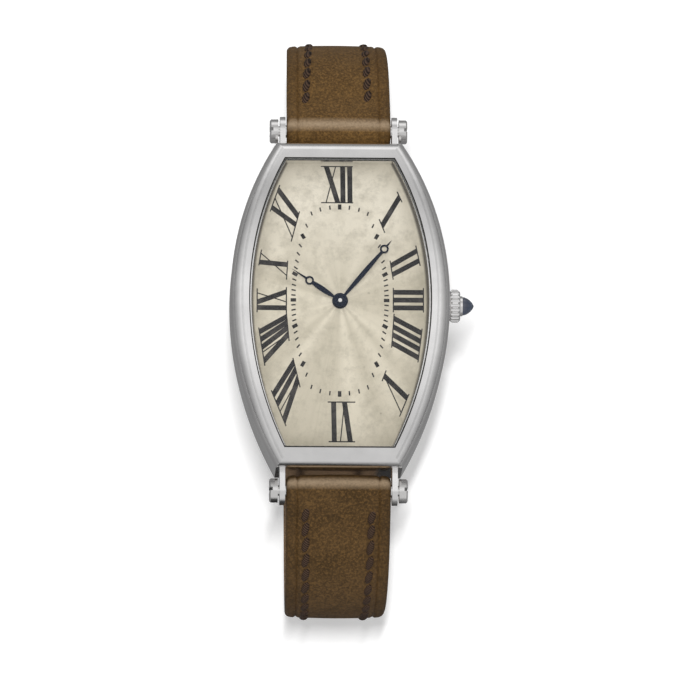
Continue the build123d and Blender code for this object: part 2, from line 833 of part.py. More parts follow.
# Main plate, with its bores and the recess for the winding work
with BuildPart() as main_plate:
    extrude(disc_face(level(plate_level), plate_radius), amount=plate_thickness)
    for pivot in train_pivots + (pallet_centre, balance_centre):
        extrude(disc_face(place(pivot, plate_level), bore), amount=plate_thickness, mode=Mode.SUBTRACT)
    centre_bore = centre_arbor_radius + running_clearance
    extrude(disc_face(level(plate_level), centre_bore), amount=plate_thickness, mode=Mode.SUBTRACT)
    barrel_bore = barrel_pivot_radius + running_clearance
    extrude(disc_face(place(barrel_centre, plate_level), barrel_bore), amount=plate_thickness,
            mode=Mode.SUBTRACT)
    slot_middle = (sliding_pinion_x + plate_radius) / 2 - crown_travel
    slot_length = plate_radius - sliding_pinion_x + 2 * crown_travel + 2 * running_clearance
    with BuildSketch(place((slot_middle, 0), plate_level)):
        Rectangle(slot_length, 2 * stem_slot_half_width)
    extrude(amount=stem_slot_depth, mode=Mode.SUBTRACT)
    for end in (-1, 1):
        foot_bore = dial_foot_radius + running_clearance
        foot_place = place((0, end * dial_foot_reach), plate_top - dial_foot_length - running_clearance)
        extrude(disc_face(foot_place, foot_bore), amount=plate_thickness, mode=Mode.SUBTRACT)
    for centre in (minute_wheel_centre, setting_centre):
        pin_height = plate_thickness - stem_slot_depth + motion_level + motion_thickness - plate_top
        extrude(disc_face(place(centre, plate_level + stem_slot_depth), motion_pin_radius), amount=pin_height)
finish(main_plate.part, "main_plate")


def bridge_outline(shares):
    """Part of the movement's disc, cut out by corners given as shares of its radius."""
    with BuildSketch(level(bridge_level)) as outline:
        Circle(bridge_radius)
        with BuildLine():
            corners = [(across * bridge_radius, along * bridge_radius) for across, along in shares]
            Polyline(*corners, close=True)
        make_face(mode=Mode.INTERSECT)
    return outline.sketch


pillar_height = plate_level - bridge_level
shank_bore = bridge_screw_shank_radius + running_clearance

# Barrel bridge, which carries the ratchet and crown wheels on its back
with BuildPart() as barrel_bridge:
    extrude(bridge_outline(barrel_bridge_shares), amount=bridge_thickness)
    for pillar in barrel_pillars:
        extrude(disc_face(place(pillar, bridge_level), pillar_radius), amount=pillar_height)
        extrude(disc_face(place(pillar, bridge_level), shank_bore), amount=bridge_screw_shank_length,
                mode=Mode.SUBTRACT)
    extrude(disc_face(place(barrel_centre, bridge_level), barrel_bore), amount=bridge_thickness,
            mode=Mode.SUBTRACT)
    recess_depth = ratchet_level + crown_wheel_thickness - bridge_level + running_clearance
    crown_tip = winding_module * (crown_wheel_teeth / 2 + tooth_tip_share) + running_clearance
    extrude(disc_face(place(crown_wheel_centre, bridge_level), crown_tip), amount=recess_depth,
            mode=Mode.SUBTRACT)
    extrude(disc_face(place(crown_wheel_centre, bridge_level), shank_bore), amount=bridge_thickness,
            mode=Mode.SUBTRACT)
    window_length = bridge_radius - winding_pinion_x + 2 * running_clearance + winding_window_margin
    window_middle = winding_pinion_x - running_clearance - winding_window_margin + window_length / 2
    with BuildSketch(place((window_middle, 0), bridge_level)):
        Rectangle(window_length, 2 * stem_slot_half_width)
    extrude(amount=bridge_thickness, mode=Mode.SUBTRACT)
    window_start = winding_pinion_x - winding_window_margin
    sliding_middle = sliding_pinion_x - crown_travel + (window_start - sliding_pinion_x + crown_travel) / 2
    with BuildSketch(place((sliding_middle, 0), bridge_level + bridge_thickness - sliding_recess_depth)):
        Rectangle(window_start - sliding_pinion_x + crown_travel, 2 * stem_slot_half_width)
    extrude(amount=sliding_recess_depth, mode=Mode.SUBTRACT)
    click_place = place((click_pivot_x, click_pivot_y), bridge_level)
    extrude(disc_face(click_place, motion_pin_radius + running_clearance), amount=bridge_thickness,
            mode=Mode.SUBTRACT)
finish(barrel_bridge.part, "barrel_bridge")

# Train bridge over the centre, third, fourth and escape wheels
jewel_bore = jewel_radius + case_fit_clearance
with BuildPart() as train_bridge:
    extrude(bridge_outline(train_bridge_shares), amount=bridge_thickness)
    for pillar in train_pillars:
        extrude(disc_face(place(pillar, bridge_level), pillar_radius), amount=pillar_height)
        extrude(disc_face(place(pillar, bridge_level), shank_bore), amount=bridge_screw_shank_length,
                mode=Mode.SUBTRACT)
    for pivot in train_pivots:
        extrude(disc_face(place(pivot, bridge_level), bore), amount=bridge_thickness, mode=Mode.SUBTRACT)
        extrude(disc_face(place(pivot, bridge_level), jewel_bore), amount=jewel_thickness, mode=Mode.SUBTRACT)
    extrude(disc_face(level(bridge_level), centre_bore), amount=bridge_thickness, mode=Mode.SUBTRACT)
finish(train_bridge.part, "train_bridge")

# Balance cock, which reaches over the balance from one pillar
with BuildPart() as balance_cock:
    with BuildSketch(level(bridge_level)):
        with Locations(balance_centre):
            Circle(cock_eye_radius)
        with Locations(cock_pillar):
            Circle(cock_pillar_radius)
        make_hull()
    extrude(amount=bridge_thickness)
    extrude(disc_face(place(cock_pillar, bridge_level), cock_pillar_radius), amount=pillar_height)
    extrude(disc_face(place(cock_pillar, bridge_level), shank_bore), amount=bridge_screw_shank_length,
            mode=Mode.SUBTRACT)
    extrude(disc_face(place(balance_centre, bridge_level), bore), amount=bridge_thickness, mode=Mode.SUBTRACT)
    extrude(disc_face(place(balance_centre, bridge_level), jewel_bore), amount=jewel_thickness,
            mode=Mode.SUBTRACT)
finish(balance_cock.part, "balance_cock")

# Pallet cock, a thin finger over the lever
with BuildPart() as pallet_cock:
    with BuildSketch(level(pallet_cock_level)):
        with Locations(pallet_centre, pallet_pillar):
            Circle(pallet_cock_width / 2)
        make_hull()
    extrude(amount=pallet_cock_thickness)
    extrude(disc_face(place(pallet_pillar, pallet_cock_level), pallet_cock_width / 2),
            amount=plate_level - pallet_cock_level)
    extrude(disc_face(place(pallet_centre, pallet_cock_level), bore), amount=pallet_cock_thickness,
            mode=Mode.SUBTRACT)
finish(pallet_cock.part, "pallet_cock")

# Screws of the bridges and of the crown wheel, heads on the back
with BuildPart() as movement_screws:
    for pillar in barrel_pillars + train_pillars + [cock_pillar]:
        extrude(disc_face(place(pillar, bridge_level - bridge_screw_head_thickness),
                bridge_screw_head_radius),
                amount=bridge_screw_head_thickness)
        extrude(disc_face(place(pillar, bridge_level), bridge_screw_shank_radius),
                amount=bridge_screw_shank_length - running_clearance)
    crown_screw_length = bridge_level + bridge_thickness - sliding_recess_depth - ratchet_level
    extrude(disc_face(place(crown_wheel_centre, ratchet_level), bridge_screw_shank_radius),
            amount=crown_screw_length)
finish(movement_screws.part, "movement_screws")

# Jewels, pressed flush into the bridges
with BuildPart() as jewels:
    for pivot in train_pivots + (balance_centre,):
        extrude(disc_face(place(pivot, bridge_level), jewel_radius, bore), amount=jewel_thickness)
finish(jewels.part, "jewels")


def spiral_face(plane, inner_radius, outer_radius, turns, strip):
    """A flat strip wound into an even spiral."""
    points_inside = []
    points_outside = []
    count = turns * spiral_points_per_turn
    for index in range(count + 1):
        turn = 2 * pi * index / spiral_points_per_turn
        reach = inner_radius + (outer_radius - inner_radius) * index / count
        points_inside.append((reach * cos(turn), reach * sin(turn)))
        points_outside.append(((reach + strip) * cos(turn), (reach + strip) * sin(turn)))
    with BuildSketch(plane) as spiral:
        with BuildLine():
            Polyline(*points_inside, *reversed(points_outside), close=True)
        make_face()
    return spiral.sketch


# Barrel: a toothed drum with a cavity for the mainspring
drum_radius = barrel_module * barrel_teeth / 2 - barrel_drum_step
with BuildPart() as barrel:
    extrude(gear_face(place(barrel_centre, barrel_level), barrel_teeth, barrel_module),
            amount=barrel_tooth_thickness)
    extrude(disc_face(place(barrel_centre, barrel_level), drum_radius), amount=barrel_height)
    extrude(disc_face(place(barrel_centre, barrel_level + barrel_wall), drum_radius - barrel_wall),
            amount=barrel_height, mode=Mode.SUBTRACT)
    extrude(disc_face(place(barrel_centre, barrel_level), barrel_bore), amount=barrel_height,
            mode=Mode.SUBTRACT)
finish(barrel.part, "barrel")

with BuildPart() as barrel_cover:
    cover_level = barrel_level + barrel_height - barrel_cover_thickness
    cover_radius = drum_radius - barrel_wall - running_clearance
    extrude(disc_face(place(barrel_centre, cover_level), cover_radius, barrel_bore),
            amount=barrel_cover_thickness)
finish(barrel_cover.part, "barrel_cover")

# Barrel arbor, from the ratchet wheel's square to its bore in the main plate
arbor_room_low = barrel_level + barrel_wall + running_clearance
arbor_room_high = cover_level - running_clearance
with BuildPart() as barrel_arbor:
    extrude(disc_face(place(barrel_centre, ratchet_level), barrel_pivot_radius),
            amount=plate_top - ratchet_level)
    extrude(disc_face(place(barrel_centre, arbor_room_low), barrel_arbor_radius),
            amount=arbor_room_high - arbor_room_low)
finish(barrel_arbor.part, "barrel_arbor")

with BuildPart() as mainspring:
    spring_low = (arbor_room_low + arbor_room_high - mainspring_height) / 2
    extrude(spiral_face(place(barrel_centre, spring_low), mainspring_inner_radius, mainspring_outer_radius,
                        mainspring_turns, mainspring_strip), amount=mainspring_height)
finish(mainspring.part, "mainspring")

# Ratchet wheel, crown wheel and click, on the back of the barrel bridge
with BuildPart() as ratchet_wheel:
    extrude(gear_face(place(barrel_centre, ratchet_level, ratchet_phase), ratchet_teeth, winding_module,
                      barrel_pivot_radius), amount=ratchet_thickness)
finish(ratchet_wheel.part, "ratchet_wheel")

with BuildPart() as crown_wheel:
    extrude(gear_face(place(crown_wheel_centre, ratchet_level), crown_wheel_teeth, winding_module,
            shank_bore),
            amount=crown_wheel_thickness)
finish(crown_wheel.part, "crown_wheel")

click_reach = hypot(barrel_centre[0] - click_pivot_x, barrel_centre[1] - click_pivot_y)
click_bearing = degrees(atan2(barrel_centre[1] - click_pivot_y, barrel_centre[0] - click_pivot_x))
click_length = click_reach - winding_module * (ratchet_teeth / 2 + tooth_tip_share) - click_gap
with BuildPart() as click:
    with BuildSketch(place((click_pivot_x, click_pivot_y), ratchet_level + click_gap, click_bearing)):
        Circle(click_width / 2)
        with BuildLine():
            Polyline((0, -click_width / 2), (click_length, 0), (0, click_width / 2), close=True)
        make_face()
    extrude(amount=ratchet_thickness - click_gap)
    extrude(disc_face(place((click_pivot_x, click_pivot_y), bridge_level - click_gap), motion_pin_radius),
            amount=bridge_thickness)
finish(click.part, "click")

# Centre wheel: its long arbor goes through the plate and carries the cannon pinion
minute_tip = minute_hand_height + hand_thickness + cannon_tip_reach
with BuildPart() as centre_wheel:
    centre_pitch = centre_teeth * centre_module / 2
    extrude(gear_face(level(centre_wheel_level), centre_teeth, centre_module), amount=wheel_thickness)
    extrude(crossings_face(level(centre_wheel_level), centre_pitch - wheel_rim_width), amount=wheel_thickness,
            mode=Mode.SUBTRACT)
    extrude(gear_face(place(centre_centre, barrel_level, centre_pinion_phase), centre_pinion_leaves,
                      barrel_module), amount=centre_pinion_thickness)
    extrude(disc_face(level(pivot_low), centre_arbor_radius), amount=minute_tip - pivot_low)
finish(centre_wheel.part, "centre_wheel")

# Third and fourth wheels, each with its pinion and arbor
with BuildPart() as third_wheel:
    third_pitch = third_teeth * third_module / 2
    extrude(gear_face(place(third_centre, third_wheel_level), third_teeth, third_module),
            amount=wheel_thickness)
    extrude(crossings_face(place(third_centre, third_wheel_level), third_pitch - wheel_rim_width),
            amount=wheel_thickness, mode=Mode.SUBTRACT)
    extrude(gear_face(place(third_centre, third_pinion_level, third_pinion_phase), third_pinion_leaves,
                      centre_module), amount=third_pinion_thickness)
    extrude(disc_face(place(third_centre, bridge_level + bridge_thickness + running_clearance), arbor_radius),
            amount=plate_level - bridge_level - bridge_thickness - 2 * running_clearance)
    extrude(disc_face(place(third_centre, pivot_low), pivot_radius), amount=pivot_high - pivot_low)
finish(third_wheel.part, "third_wheel")

with BuildPart() as fourth_wheel:
    fourth_pitch = fourth_teeth * fourth_module / 2
    extrude(gear_face(place(fourth_centre, fourth_wheel_level), fourth_teeth, fourth_module),
            amount=wheel_thickness)
    extrude(crossings_face(place(fourth_centre, fourth_wheel_level), fourth_pitch - wheel_rim_width),
            amount=wheel_thickness, mode=Mode.SUBTRACT)
    extrude(gear_face(place(fourth_centre, fourth_pinion_level, fourth_pinion_phase), fourth_pinion_leaves,
                      third_module), amount=fourth_pinion_thickness)
    extrude(disc_face(place(fourth_centre, bridge_level + bridge_thickness + running_clearance),
            arbor_radius),
            amount=plate_level - bridge_level - bridge_thickness - 2 * running_clearance)
    extrude(disc_face(place(fourth_centre, pivot_low), pivot_radius), amount=pivot_high - pivot_low)
finish(fourth_wheel.part, "fourth_wheel")

# Escape wheel, with raked pointed teeth
with BuildPart() as escape_wheel:
    with BuildSketch(place(escape_centre, escape_wheel_level)):
        corners = []
        for tooth in range(escape_teeth):
            for reach, share in ((escape_root_radius, 0), (escape_radius, escape_tip_share),
                                 (escape_root_radius, escape_back_share)):
                turn = 2 * pi * (tooth + share) / escape_teeth
                corners.append((reach * cos(turn), reach * sin(turn)))
        with BuildLine():
            Polyline(*corners, close=True)
        make_face()
    extrude(amount=wheel_thickness)
    extrude(gear_face(place(escape_centre, escape_pinion_level, escape_pinion_phase), escape_pinion_leaves,
                      fourth_module), amount=escape_pinion_thickness)
    extrude(disc_face(place(escape_centre, bridge_level + bridge_thickness + running_clearance),
            arbor_radius),
            amount=plate_level - bridge_level - bridge_thickness - 2 * running_clearance)
    extrude(disc_face(place(escape_centre, pivot_low), pivot_radius), amount=pivot_high - pivot_low)
finish(escape_wheel.part, "escape_wheel")

# Pallet lever: two arms round the escape wheel and a fork towards the balance
with BuildPart() as pallet_lever:
    with BuildSketch(place(pallet_centre, escape_wheel_level, pallet_bearing)):
        Circle(pallet_hub_radius)
        for side in (-1, 1):
            arm_end = (-pallet_arm_back, side * pallet_arm_side)
            with Locations((-pallet_arm_back / 2, side * pallet_arm_side / 2)):
                arm_turn = degrees(atan2(arm_end[1], arm_end[0]))
                Rectangle(hypot(*arm_end), pallet_arm_width, rotation=arm_turn)
        with Locations((pallet_fork_length / 2, 0)):
            Rectangle(pallet_fork_length, pallet_arm_width)
        with Locations((pallet_fork_length, 0)):
            Rectangle(pallet_fork_depth, pallet_fork_gap, mode=Mode.SUBTRACT)
    extrude(amount=wheel_thickness)
    lever_low = pallet_cock_level + running_clearance
    extrude(disc_face(place(pallet_centre, lever_low), pivot_radius), amount=pivot_high - lever_low)
finish(pallet_lever.part, "pallet_lever")

# Balance wheel on its staff, and the hairspring under the cock
with BuildPart() as balance_wheel:
    with BuildSketch(place(balance_centre, balance_level)):
        Circle(balance_radius)
        Circle(balance_radius - balance_rim_width, mode=Mode.SUBTRACT)
        Rectangle(2 * balance_radius - balance_rim_width, wheel_arm_width)
        Circle(balance_hub_radius)
    extrude(amount=balance_thickness)
    roller_level = escape_wheel_level - roller_thickness
    extrude(disc_face(place(balance_centre, roller_level), balance_roller_radius), amount=roller_thickness)
    extrude(disc_face(place(balance_centre, bridge_level + bridge_thickness + running_clearance),
            arbor_radius),
            amount=plate_level - bridge_level - bridge_thickness - 2 * running_clearance)
    extrude(disc_face(place(balance_centre, pivot_low), pivot_radius), amount=pivot_high - pivot_low)
finish(balance_wheel.part, "balance_wheel")

with BuildPart() as hairspring:
    extrude(spiral_face(place(balance_centre, hairspring_level), hairspring_inner_radius,
                        hairspring_outer_radius, hairspring_turns, hairspring_strip),
            amount=hairspring_height)
finish(hairspring.part, "hairspring")

# Motion work under the dial
pipe_bore = centre_arbor_radius + running_clearance
with BuildPart() as cannon_pinion:
    extrude(gear_face(level(motion_level), cannon_leaves, motion_module, pipe_bore), amount=motion_thickness)
    extrude(disc_face(level(motion_level), cannon_pipe_radius, pipe_bore),
            amount=minute_hand_height + hand_thickness - motion_level)
finish(cannon_pinion.part, "cannon_pinion")

pinion_level = motion_level + motion_thickness + running_clearance
with BuildPart() as minute_wheel:
    pin_bore = motion_pin_radius + running_clearance
    extrude(gear_face(place(minute_wheel_centre, motion_level, minute_wheel_phase), minute_teeth,
                      motion_module,
                      pin_bore), amount=motion_thickness)
    extrude(gear_face(place(minute_wheel_centre, motion_level + motion_thickness, minute_pinion_phase),
                      minute_pinion_leaves, motion_module, pin_bore),
            amount=motion_thickness + running_clearance)
finish(minute_wheel.part, "minute_wheel")

with BuildPart() as hour_wheel:
    hour_bore = cannon_pipe_radius + running_clearance
    extrude(gear_face(place(centre_centre, pinion_level, hour_wheel_phase), hour_teeth, motion_module,
                      hour_bore),
            amount=motion_thickness)
    extrude(disc_face(level(pinion_level), hour_pipe_radius, hour_bore),
            amount=hour_hand_height + hand_thickness - pinion_level)
finish(hour_wheel.part, "hour_wheel")

with BuildPart() as setting_wheel:
    extrude(gear_face(place(setting_centre, motion_level, setting_phase), setting_teeth, motion_module,
                      pin_bore),
            amount=motion_thickness)
finish(setting_wheel.part, "setting_wheel")

# Winding stem, its two pinions and the setting lever
stem_bore = stem_radius + running_clearance
with BuildPart() as winding_stem:
    with BuildSketch(stem_plane(stem_inner_end)):
        Circle(stem_radius)
    extrude(amount=crown_start - stem_inner_end)
    groove_half_width = setting_pin_radius + running_clearance
    with BuildSketch(stem_plane(setting_lever_x - groove_half_width)):
        Circle(stem_radius + overrun)
        Circle(stem_groove_radius, mode=Mode.SUBTRACT)
    extrude(amount=2 * groove_half_width, mode=Mode.SUBTRACT)
finish(winding_stem.part, "winding_stem")


def pinion_on_stem(start, radius, teeth):
    """A toothed disc across the stem, starting at a distance from the hands' axis."""
    return gear_face(stem_plane(start), teeth, 2 * radius / (teeth + 2 * tooth_tip_share), stem_bore)


with BuildPart() as winding_pinion:
    extrude(pinion_on_stem(winding_pinion_x, winding_pinion_radius, winding_teeth),
            amount=winding_pinion_length)
finish(winding_pinion.part, "winding_pinion")

with BuildPart() as sliding_pinion:
    extrude(pinion_on_stem(sliding_pinion_x, sliding_pinion_radius, winding_teeth),
            amount=sliding_pinion_length)
    with BuildSketch(stem_plane(sliding_pinion_x + (sliding_pinion_length - sliding_groove_width) / 2)):
        Circle(sliding_pinion_radius + overrun)
        Circle(sliding_pinion_radius - sliding_groove_depth, mode=Mode.SUBTRACT)
    extrude(amount=sliding_groove_width, mode=Mode.SUBTRACT)
finish(sliding_pinion.part, "sliding_pinion")

with BuildPart() as setting_lever:
    lever_level = stem_height + stem_radius + running_clearance
    with BuildSketch(place((setting_lever_x, setting_lever_middle), lever_level)):
        Rectangle(setting_lever_width, setting_lever_length)
    extrude(amount=setting_lever_thickness)
    pin_bottom = stem_height + stem_groove_radius + running_clearance
    with BuildSketch(place((setting_lever_x, 0), pin_bottom)):
        Circle(setting_pin_radius)
    extrude(amount=lever_level - pin_bottom)
finish(setting_lever.part, "setting_lever")

# Movement ring, which fills the case round the movement
with BuildPart() as movement_ring:
    extrude(opening_face(-cavity_step - ring_fit_clearance), amount=case_height)
    extrude(band_face(ring_low_rise, ring_high_rise), amount=case_height, both=True, mode=Mode.INTERSECT)
    with BuildSketch(Plane.XY.offset(case_base_height - case_half_length)):
        Circle(plate_radius + ring_fit_clearance)
    extrude(amount=case_height, mode=Mode.SUBTRACT)
    with BuildSketch(stem_plane(0)):
        Circle(crown_tube_radius + ring_fit_clearance)
    extrude(amount=case_half_width, mode=Mode.SUBTRACT)
finish(movement_ring.part, "movement_ring")

# The strap's side view, as distances outwards from the hands' axis and heights
fall = radians(strap_fall_angle)
bar_point = (bar_reach, bar_height)
shoulder_start = (bar_reach + strap_straight_length * cos(fall),
                  bar_height - strap_straight_length * sin(fall))
shoulder_centre = (shoulder_start[0] - strap_shoulder_radius * sin(fall),
                   shoulder_start[1] - strap_shoulder_radius * cos(fall))
strap_outermost = shoulder_centre[0] + strap_shoulder_radius
tail_curl_radius = shoulder_centre[1] - strap_thin_half
tail_curl_centre = (strap_outermost - tail_curl_radius, shoulder_centre[1])
short_curl_centre = (strap_outermost - short_curl_radius, shoulder_centre[1])
short_lowest = shoulder_centre[1] - short_curl_radius - strap_thin_half


def around(centre, reach, angle):
    """A point of the strap's side view, at a distance and angle from a centre."""
    return (centre[0] + reach * cos(radians(angle)), centre[1] + reach * sin(radians(angle)))


def side_arc(end, centre, radius, start_angle, end_angle):
    """An arc of the strap's side view, drawn on one side of the case."""
    stations = [around(centre, radius, angle)
                for angle in (start_angle, (start_angle + end_angle) / 2, end_angle)]
    return ThreePointArc(*[(end * outwards, height) for outwards, height in stations])


def side_line(end, start, stop):
    """A straight line of the strap's side view, drawn on one side of the case."""
    return Line((end * start[0], start[1]), (end * stop[0], stop[1]))


def strap_band(end, start_reach, thick_low, thick_high, thin_low, thin_high):
    """The side view of one strap half between two offsets from its middle line.

    The offsets go from the thick pair at the bar to the thin pair at the shoulder.
    The 12 o'clock half curls under the case, the 6 o'clock half ends in a flat tail.
    """
    rising = 90 - strap_fall_angle
    start_share = start_reach / strap_straight_length
    start = around(bar_point, start_reach, -strap_fall_angle)
    edges = []
    for thick, thin in ((thick_low, thin_low), (thick_high, thin_high)):
        at_start = thick + (thin - thick) * start_share
        points = [around(start, at_start, rising), around(shoulder_start, thin, rising)]
        if end > 0:
            curl = (short_curl_centre, short_curl_radius + thin, -short_curl_angle)
            final = around(around(short_curl_centre, short_curl_radius + thin, -short_curl_angle),
                          short_end_length, -short_curl_angle - 90)
        else:
            curl = (tail_curl_centre, tail_curl_radius + thin, -90)
            final = (-tail_end_y, strap_thin_half - thin)
        edges.append((points, thin, curl, final))
    with BuildSketch(Plane.YZ) as band:
        with BuildLine():
            for points, thin, curl, final in edges:
                side_line(end, points[0], points[1])
                side_arc(end, shoulder_centre, strap_shoulder_radius + thin, rising, 0)
                side_arc(end, curl[0], curl[1], 0, curl[2])
                side_line(end, around(*curl), final)
            side_line(end, edges[0][0][0], edges[1][0][0])
            side_line(end, edges[0][3], edges[1][3])
        make_face()
    return band.sketch


def width_face(lowest):
    """The strap's taper, seen along the case: full width at the lugs, narrow at its lowest point."""
    with BuildSketch(Plane.XZ) as taper:
        with BuildLine():
            Polyline(
                (-strap_end_half_width, lowest),
                (strap_end_half_width, lowest),
                (strap_half_width, bar_height),
                (strap_half_width, bar_height + overrun),
                (-strap_half_width, bar_height + overrun),
                (-strap_half_width, bar_height),
                close=True,
            )
        make_face()
    return taper.sketch


def strap_half_width_at(height, lowest):
    """Half the strap's width at a height, from the same taper."""
    share = (height - lowest) / (bar_height - lowest)
    return strap_end_half_width + (strap_half_width - strap_end_half_width) * share


def tip_corners_face():
    """What the pointed tip of the tail leaves out, seen from above."""
    with BuildSketch(Plane.XY) as corners:
        for side in (-1, 1):
            with BuildLine():
                ThreePointArc(
                    (side * strap_end_half_width, tail_end_y - tail_tip_length),
                    (side * strap_end_half_width * tip_belly_share,
                     tail_end_y - tail_tip_length * tip_rise_share),
                    (side * tail_tip_half_width, tail_end_y),
                )
                Polyline(
                    (side * tail_tip_half_width, tail_end_y),
                    (side * tail_tip_half_width, tail_end_y + overrun),
                    (side * (strap_end_half_width + overrun), tail_end_y + overrun),
                    (side * (strap_end_half_width + overrun), tail_end_y - tail_tip_length),
                    (side * strap_end_half_width, tail_end_y - tail_tip_length),
                )
            make_face()
    return corners.sketch


def tail_holes_face():
    """The row of buckle holes in the tail, seen from above."""
    with BuildSketch(Plane.XY) as holes:
        for index in range(strap_holes):
            with Locations((0, tail_end_y - strap_first_hole_from_end - index * strap_hole_pitch)):
                Circle(strap_hole_radius)
    return holes.sketch


# The end of the 12 o'clock half, where the buckle hangs
short_end = around(around(short_curl_centre, short_curl_radius, -short_curl_angle), short_end_length,
                  -short_curl_angle - 90)
buckle_centre = around(short_end, buckle_bar_from_strap, -short_curl_angle - 90)
outer_normal = (0, cos(radians(short_curl_angle)), -sin(radians(short_curl_angle)))
heading = (0, cos(radians(-short_curl_angle - 90)), sin(radians(-short_curl_angle - 90)))
buckle_plane = Plane(origin=(0, buckle_centre[0], buckle_centre[1]), x_dir=(1, 0, 0), z_dir=outer_normal)
buckle_side_plane = Plane(origin=(0, buckle_centre[0], buckle_centre[1]), x_dir=heading, z_dir=(1, 0, 0))
short_end_half_width = strap_half_width_at(short_end[1], short_lowest)
tongue_slot_half_width = tongue_width / 2 + tongue_slot_clearance

# Upper strap half: a roll on the bar, a thick shoulder, and a roll on the buckle's bar
lining_split_thick = strap_lining_thickness - strap_thick_half
lining_split_thin = strap_lining_thickness - strap_thin_half
with BuildPart() as strap_upper:
    extrude(strap_band(1, 0, lining_split_thick, strap_thick_half, lining_split_thin, strap_thin_half),
            amount=strap_half_width, both=True)
    with BuildSketch(Plane.YZ):
        with Locations(bar_point):
            Circle(strap_roll_radius)
    extrude(amount=strap_half_width, both=True)
    extrude(width_face(short_lowest), amount=case_height, both=True, mode=Mode.INTERSECT)
    with BuildSketch(buckle_side_plane):
        Circle(buckle_roll_radius)
        with Locations((-buckle_bar_from_strap / 2, 0)):
            Rectangle(buckle_bar_from_strap, 2 * strap_thin_half)
    extrude(amount=short_end_half_width, both=True)
    with BuildSketch(Plane.YZ):
        with Locations(bar_point):
            Circle(bar_radius + strap_bar_clearance)
    extrude(amount=strap_half_width, both=True, mode=Mode.SUBTRACT)
    with BuildSketch(buckle_side_plane):
        Circle(buckle_bar_radius + strap_bar_clearance)
    extrude(amount=strap_half_width, both=True, mode=Mode.SUBTRACT)
    with BuildSketch(buckle_plane.offset(-overrun)):
        with Locations((0, (buckle_roll_radius + overrun - tongue_slot_reach) / 2)):
            Rectangle(2 * tongue_slot_half_width, buckle_roll_radius + overrun + tongue_slot_reach)
    extrude(amount=2 * overrun, mode=Mode.SUBTRACT)
finish(strap_upper.part, "strap_upper")

with BuildPart() as strap_upper_lining:
    extrude(strap_band(1, lining_start, -strap_thick_half, lining_split_thick, -strap_thin_half,
                       lining_split_thin), amount=strap_half_width, both=True)
    extrude(width_face(short_lowest), amount=case_height, both=True, mode=Mode.INTERSECT)
    with BuildSketch(buckle_plane.offset(-overrun)):
        with Locations((0, (buckle_roll_radius + overrun - tongue_slot_reach) / 2)):
            Rectangle(2 * tongue_slot_half_width, buckle_roll_radius + overrun + tongue_slot_reach)
    extrude(amount=2 * overrun, mode=Mode.SUBTRACT)
finish(strap_upper_lining.part, "strap_upper_lining")

# Lower strap half, with its holes and pointed tip in the flat tail
with BuildPart() as strap_lower:
    extrude(strap_band(-1, 0, lining_split_thick, strap_thick_half, lining_split_thin, strap_thin_half),
            amount=strap_half_width, both=True)
    with BuildSketch(Plane.YZ):
        with Locations((-bar_reach, bar_height)):
            Circle(strap_roll_radius)
    extrude(amount=strap_half_width, both=True)
    extrude(width_face(0), amount=case_height, both=True, mode=Mode.INTERSECT)
    with BuildSketch(Plane.YZ):
        with Locations((-bar_reach, bar_height)):
            Circle(bar_radius + strap_bar_clearance)
    extrude(amount=strap_half_width, both=True, mode=Mode.SUBTRACT)
    extrude(tip_corners_face(), amount=overrun, mode=Mode.SUBTRACT)
    extrude(tail_holes_face(), amount=overrun, mode=Mode.SUBTRACT)
finish(strap_lower.part, "strap_lower")

with BuildPart() as strap_lower_lining:
    extrude(strap_band(-1, lining_start, -strap_thick_half, lining_split_thick, -strap_thin_half,
                       lining_split_thin), amount=strap_half_width, both=True)
    extrude(width_face(0), amount=case_height, both=True, mode=Mode.INTERSECT)
    extrude(tip_corners_face(), amount=overrun, mode=Mode.SUBTRACT)
    extrude(tail_holes_face(), amount=overrun, mode=Mode.SUBTRACT)
finish(strap_lower_lining.part, "strap_lower_lining")

# Keepers: leather loops round the strap, with room for the tail on the outside
keeper_inner_half = short_end_half_width + keeper_side_clearance
keeper_low = -strap_thin_half - keeper_face_clearance
keeper_high = strap_thin_half + keeper_room
for name, from_end in (("fixed_keeper", fixed_keeper_from_end), ("free_keeper", free_keeper_from_end)):
    with BuildPart() as keeper:
        keeper_origin = around(short_end, from_end, 90 - short_curl_angle)
        across = Plane(origin=(0, keeper_origin[0], keeper_origin[1]), x_dir=(1, 0, 0),
                       z_dir=tuple(-part for part in heading))
        with BuildSketch(across.offset(-keeper_width / 2)):
            with Locations((0, (keeper_low + keeper_high) / 2)):
                RectangleRounded(2 * (keeper_inner_half + keeper_thickness),
                                 keeper_high - keeper_low + 2 * keeper_thickness, keeper_thickness)
                Rectangle(2 * keeper_inner_half, keeper_high - keeper_low, mode=Mode.SUBTRACT)
        extrude(amount=keeper_width)
    finish(keeper.part, name)

# Buckle: its frame, its bar and its tongue
with BuildPart() as buckle_frame:
    outer_half = buckle_inner_half_width + buckle_side_width
    with BuildSketch(buckle_plane.offset(-buckle_wire_radius)):
        with Locations((0, (buckle_length - buckle_eye_reach) / 2)):
            RectangleRounded(2 * outer_half, buckle_length + buckle_eye_reach, buckle_side_width)
            Rectangle(2 * buckle_inner_half_width, buckle_length + buckle_eye_reach - 2 * buckle_side_width,
                      mode=Mode.SUBTRACT)
        with Locations((0, -buckle_eye_reach)):
            Rectangle(2 * buckle_inner_half_width, 2 * buckle_side_width + overrun, mode=Mode.SUBTRACT)
    extrude(amount=2 * buckle_wire_radius)
    outer_rims = buckle_frame.faces().sort_by(Axis((0, 0, 0), outer_normal))[-1].outer_wire().edges()
    chamfer(outer_rims, length=buckle_edge_round)
    with BuildSketch(buckle_side_plane):
        Circle(buckle_bar_radius)
    extrude(amount=outer_half, both=True, mode=Mode.SUBTRACT)
finish(buckle_frame.part, "buckle_frame")

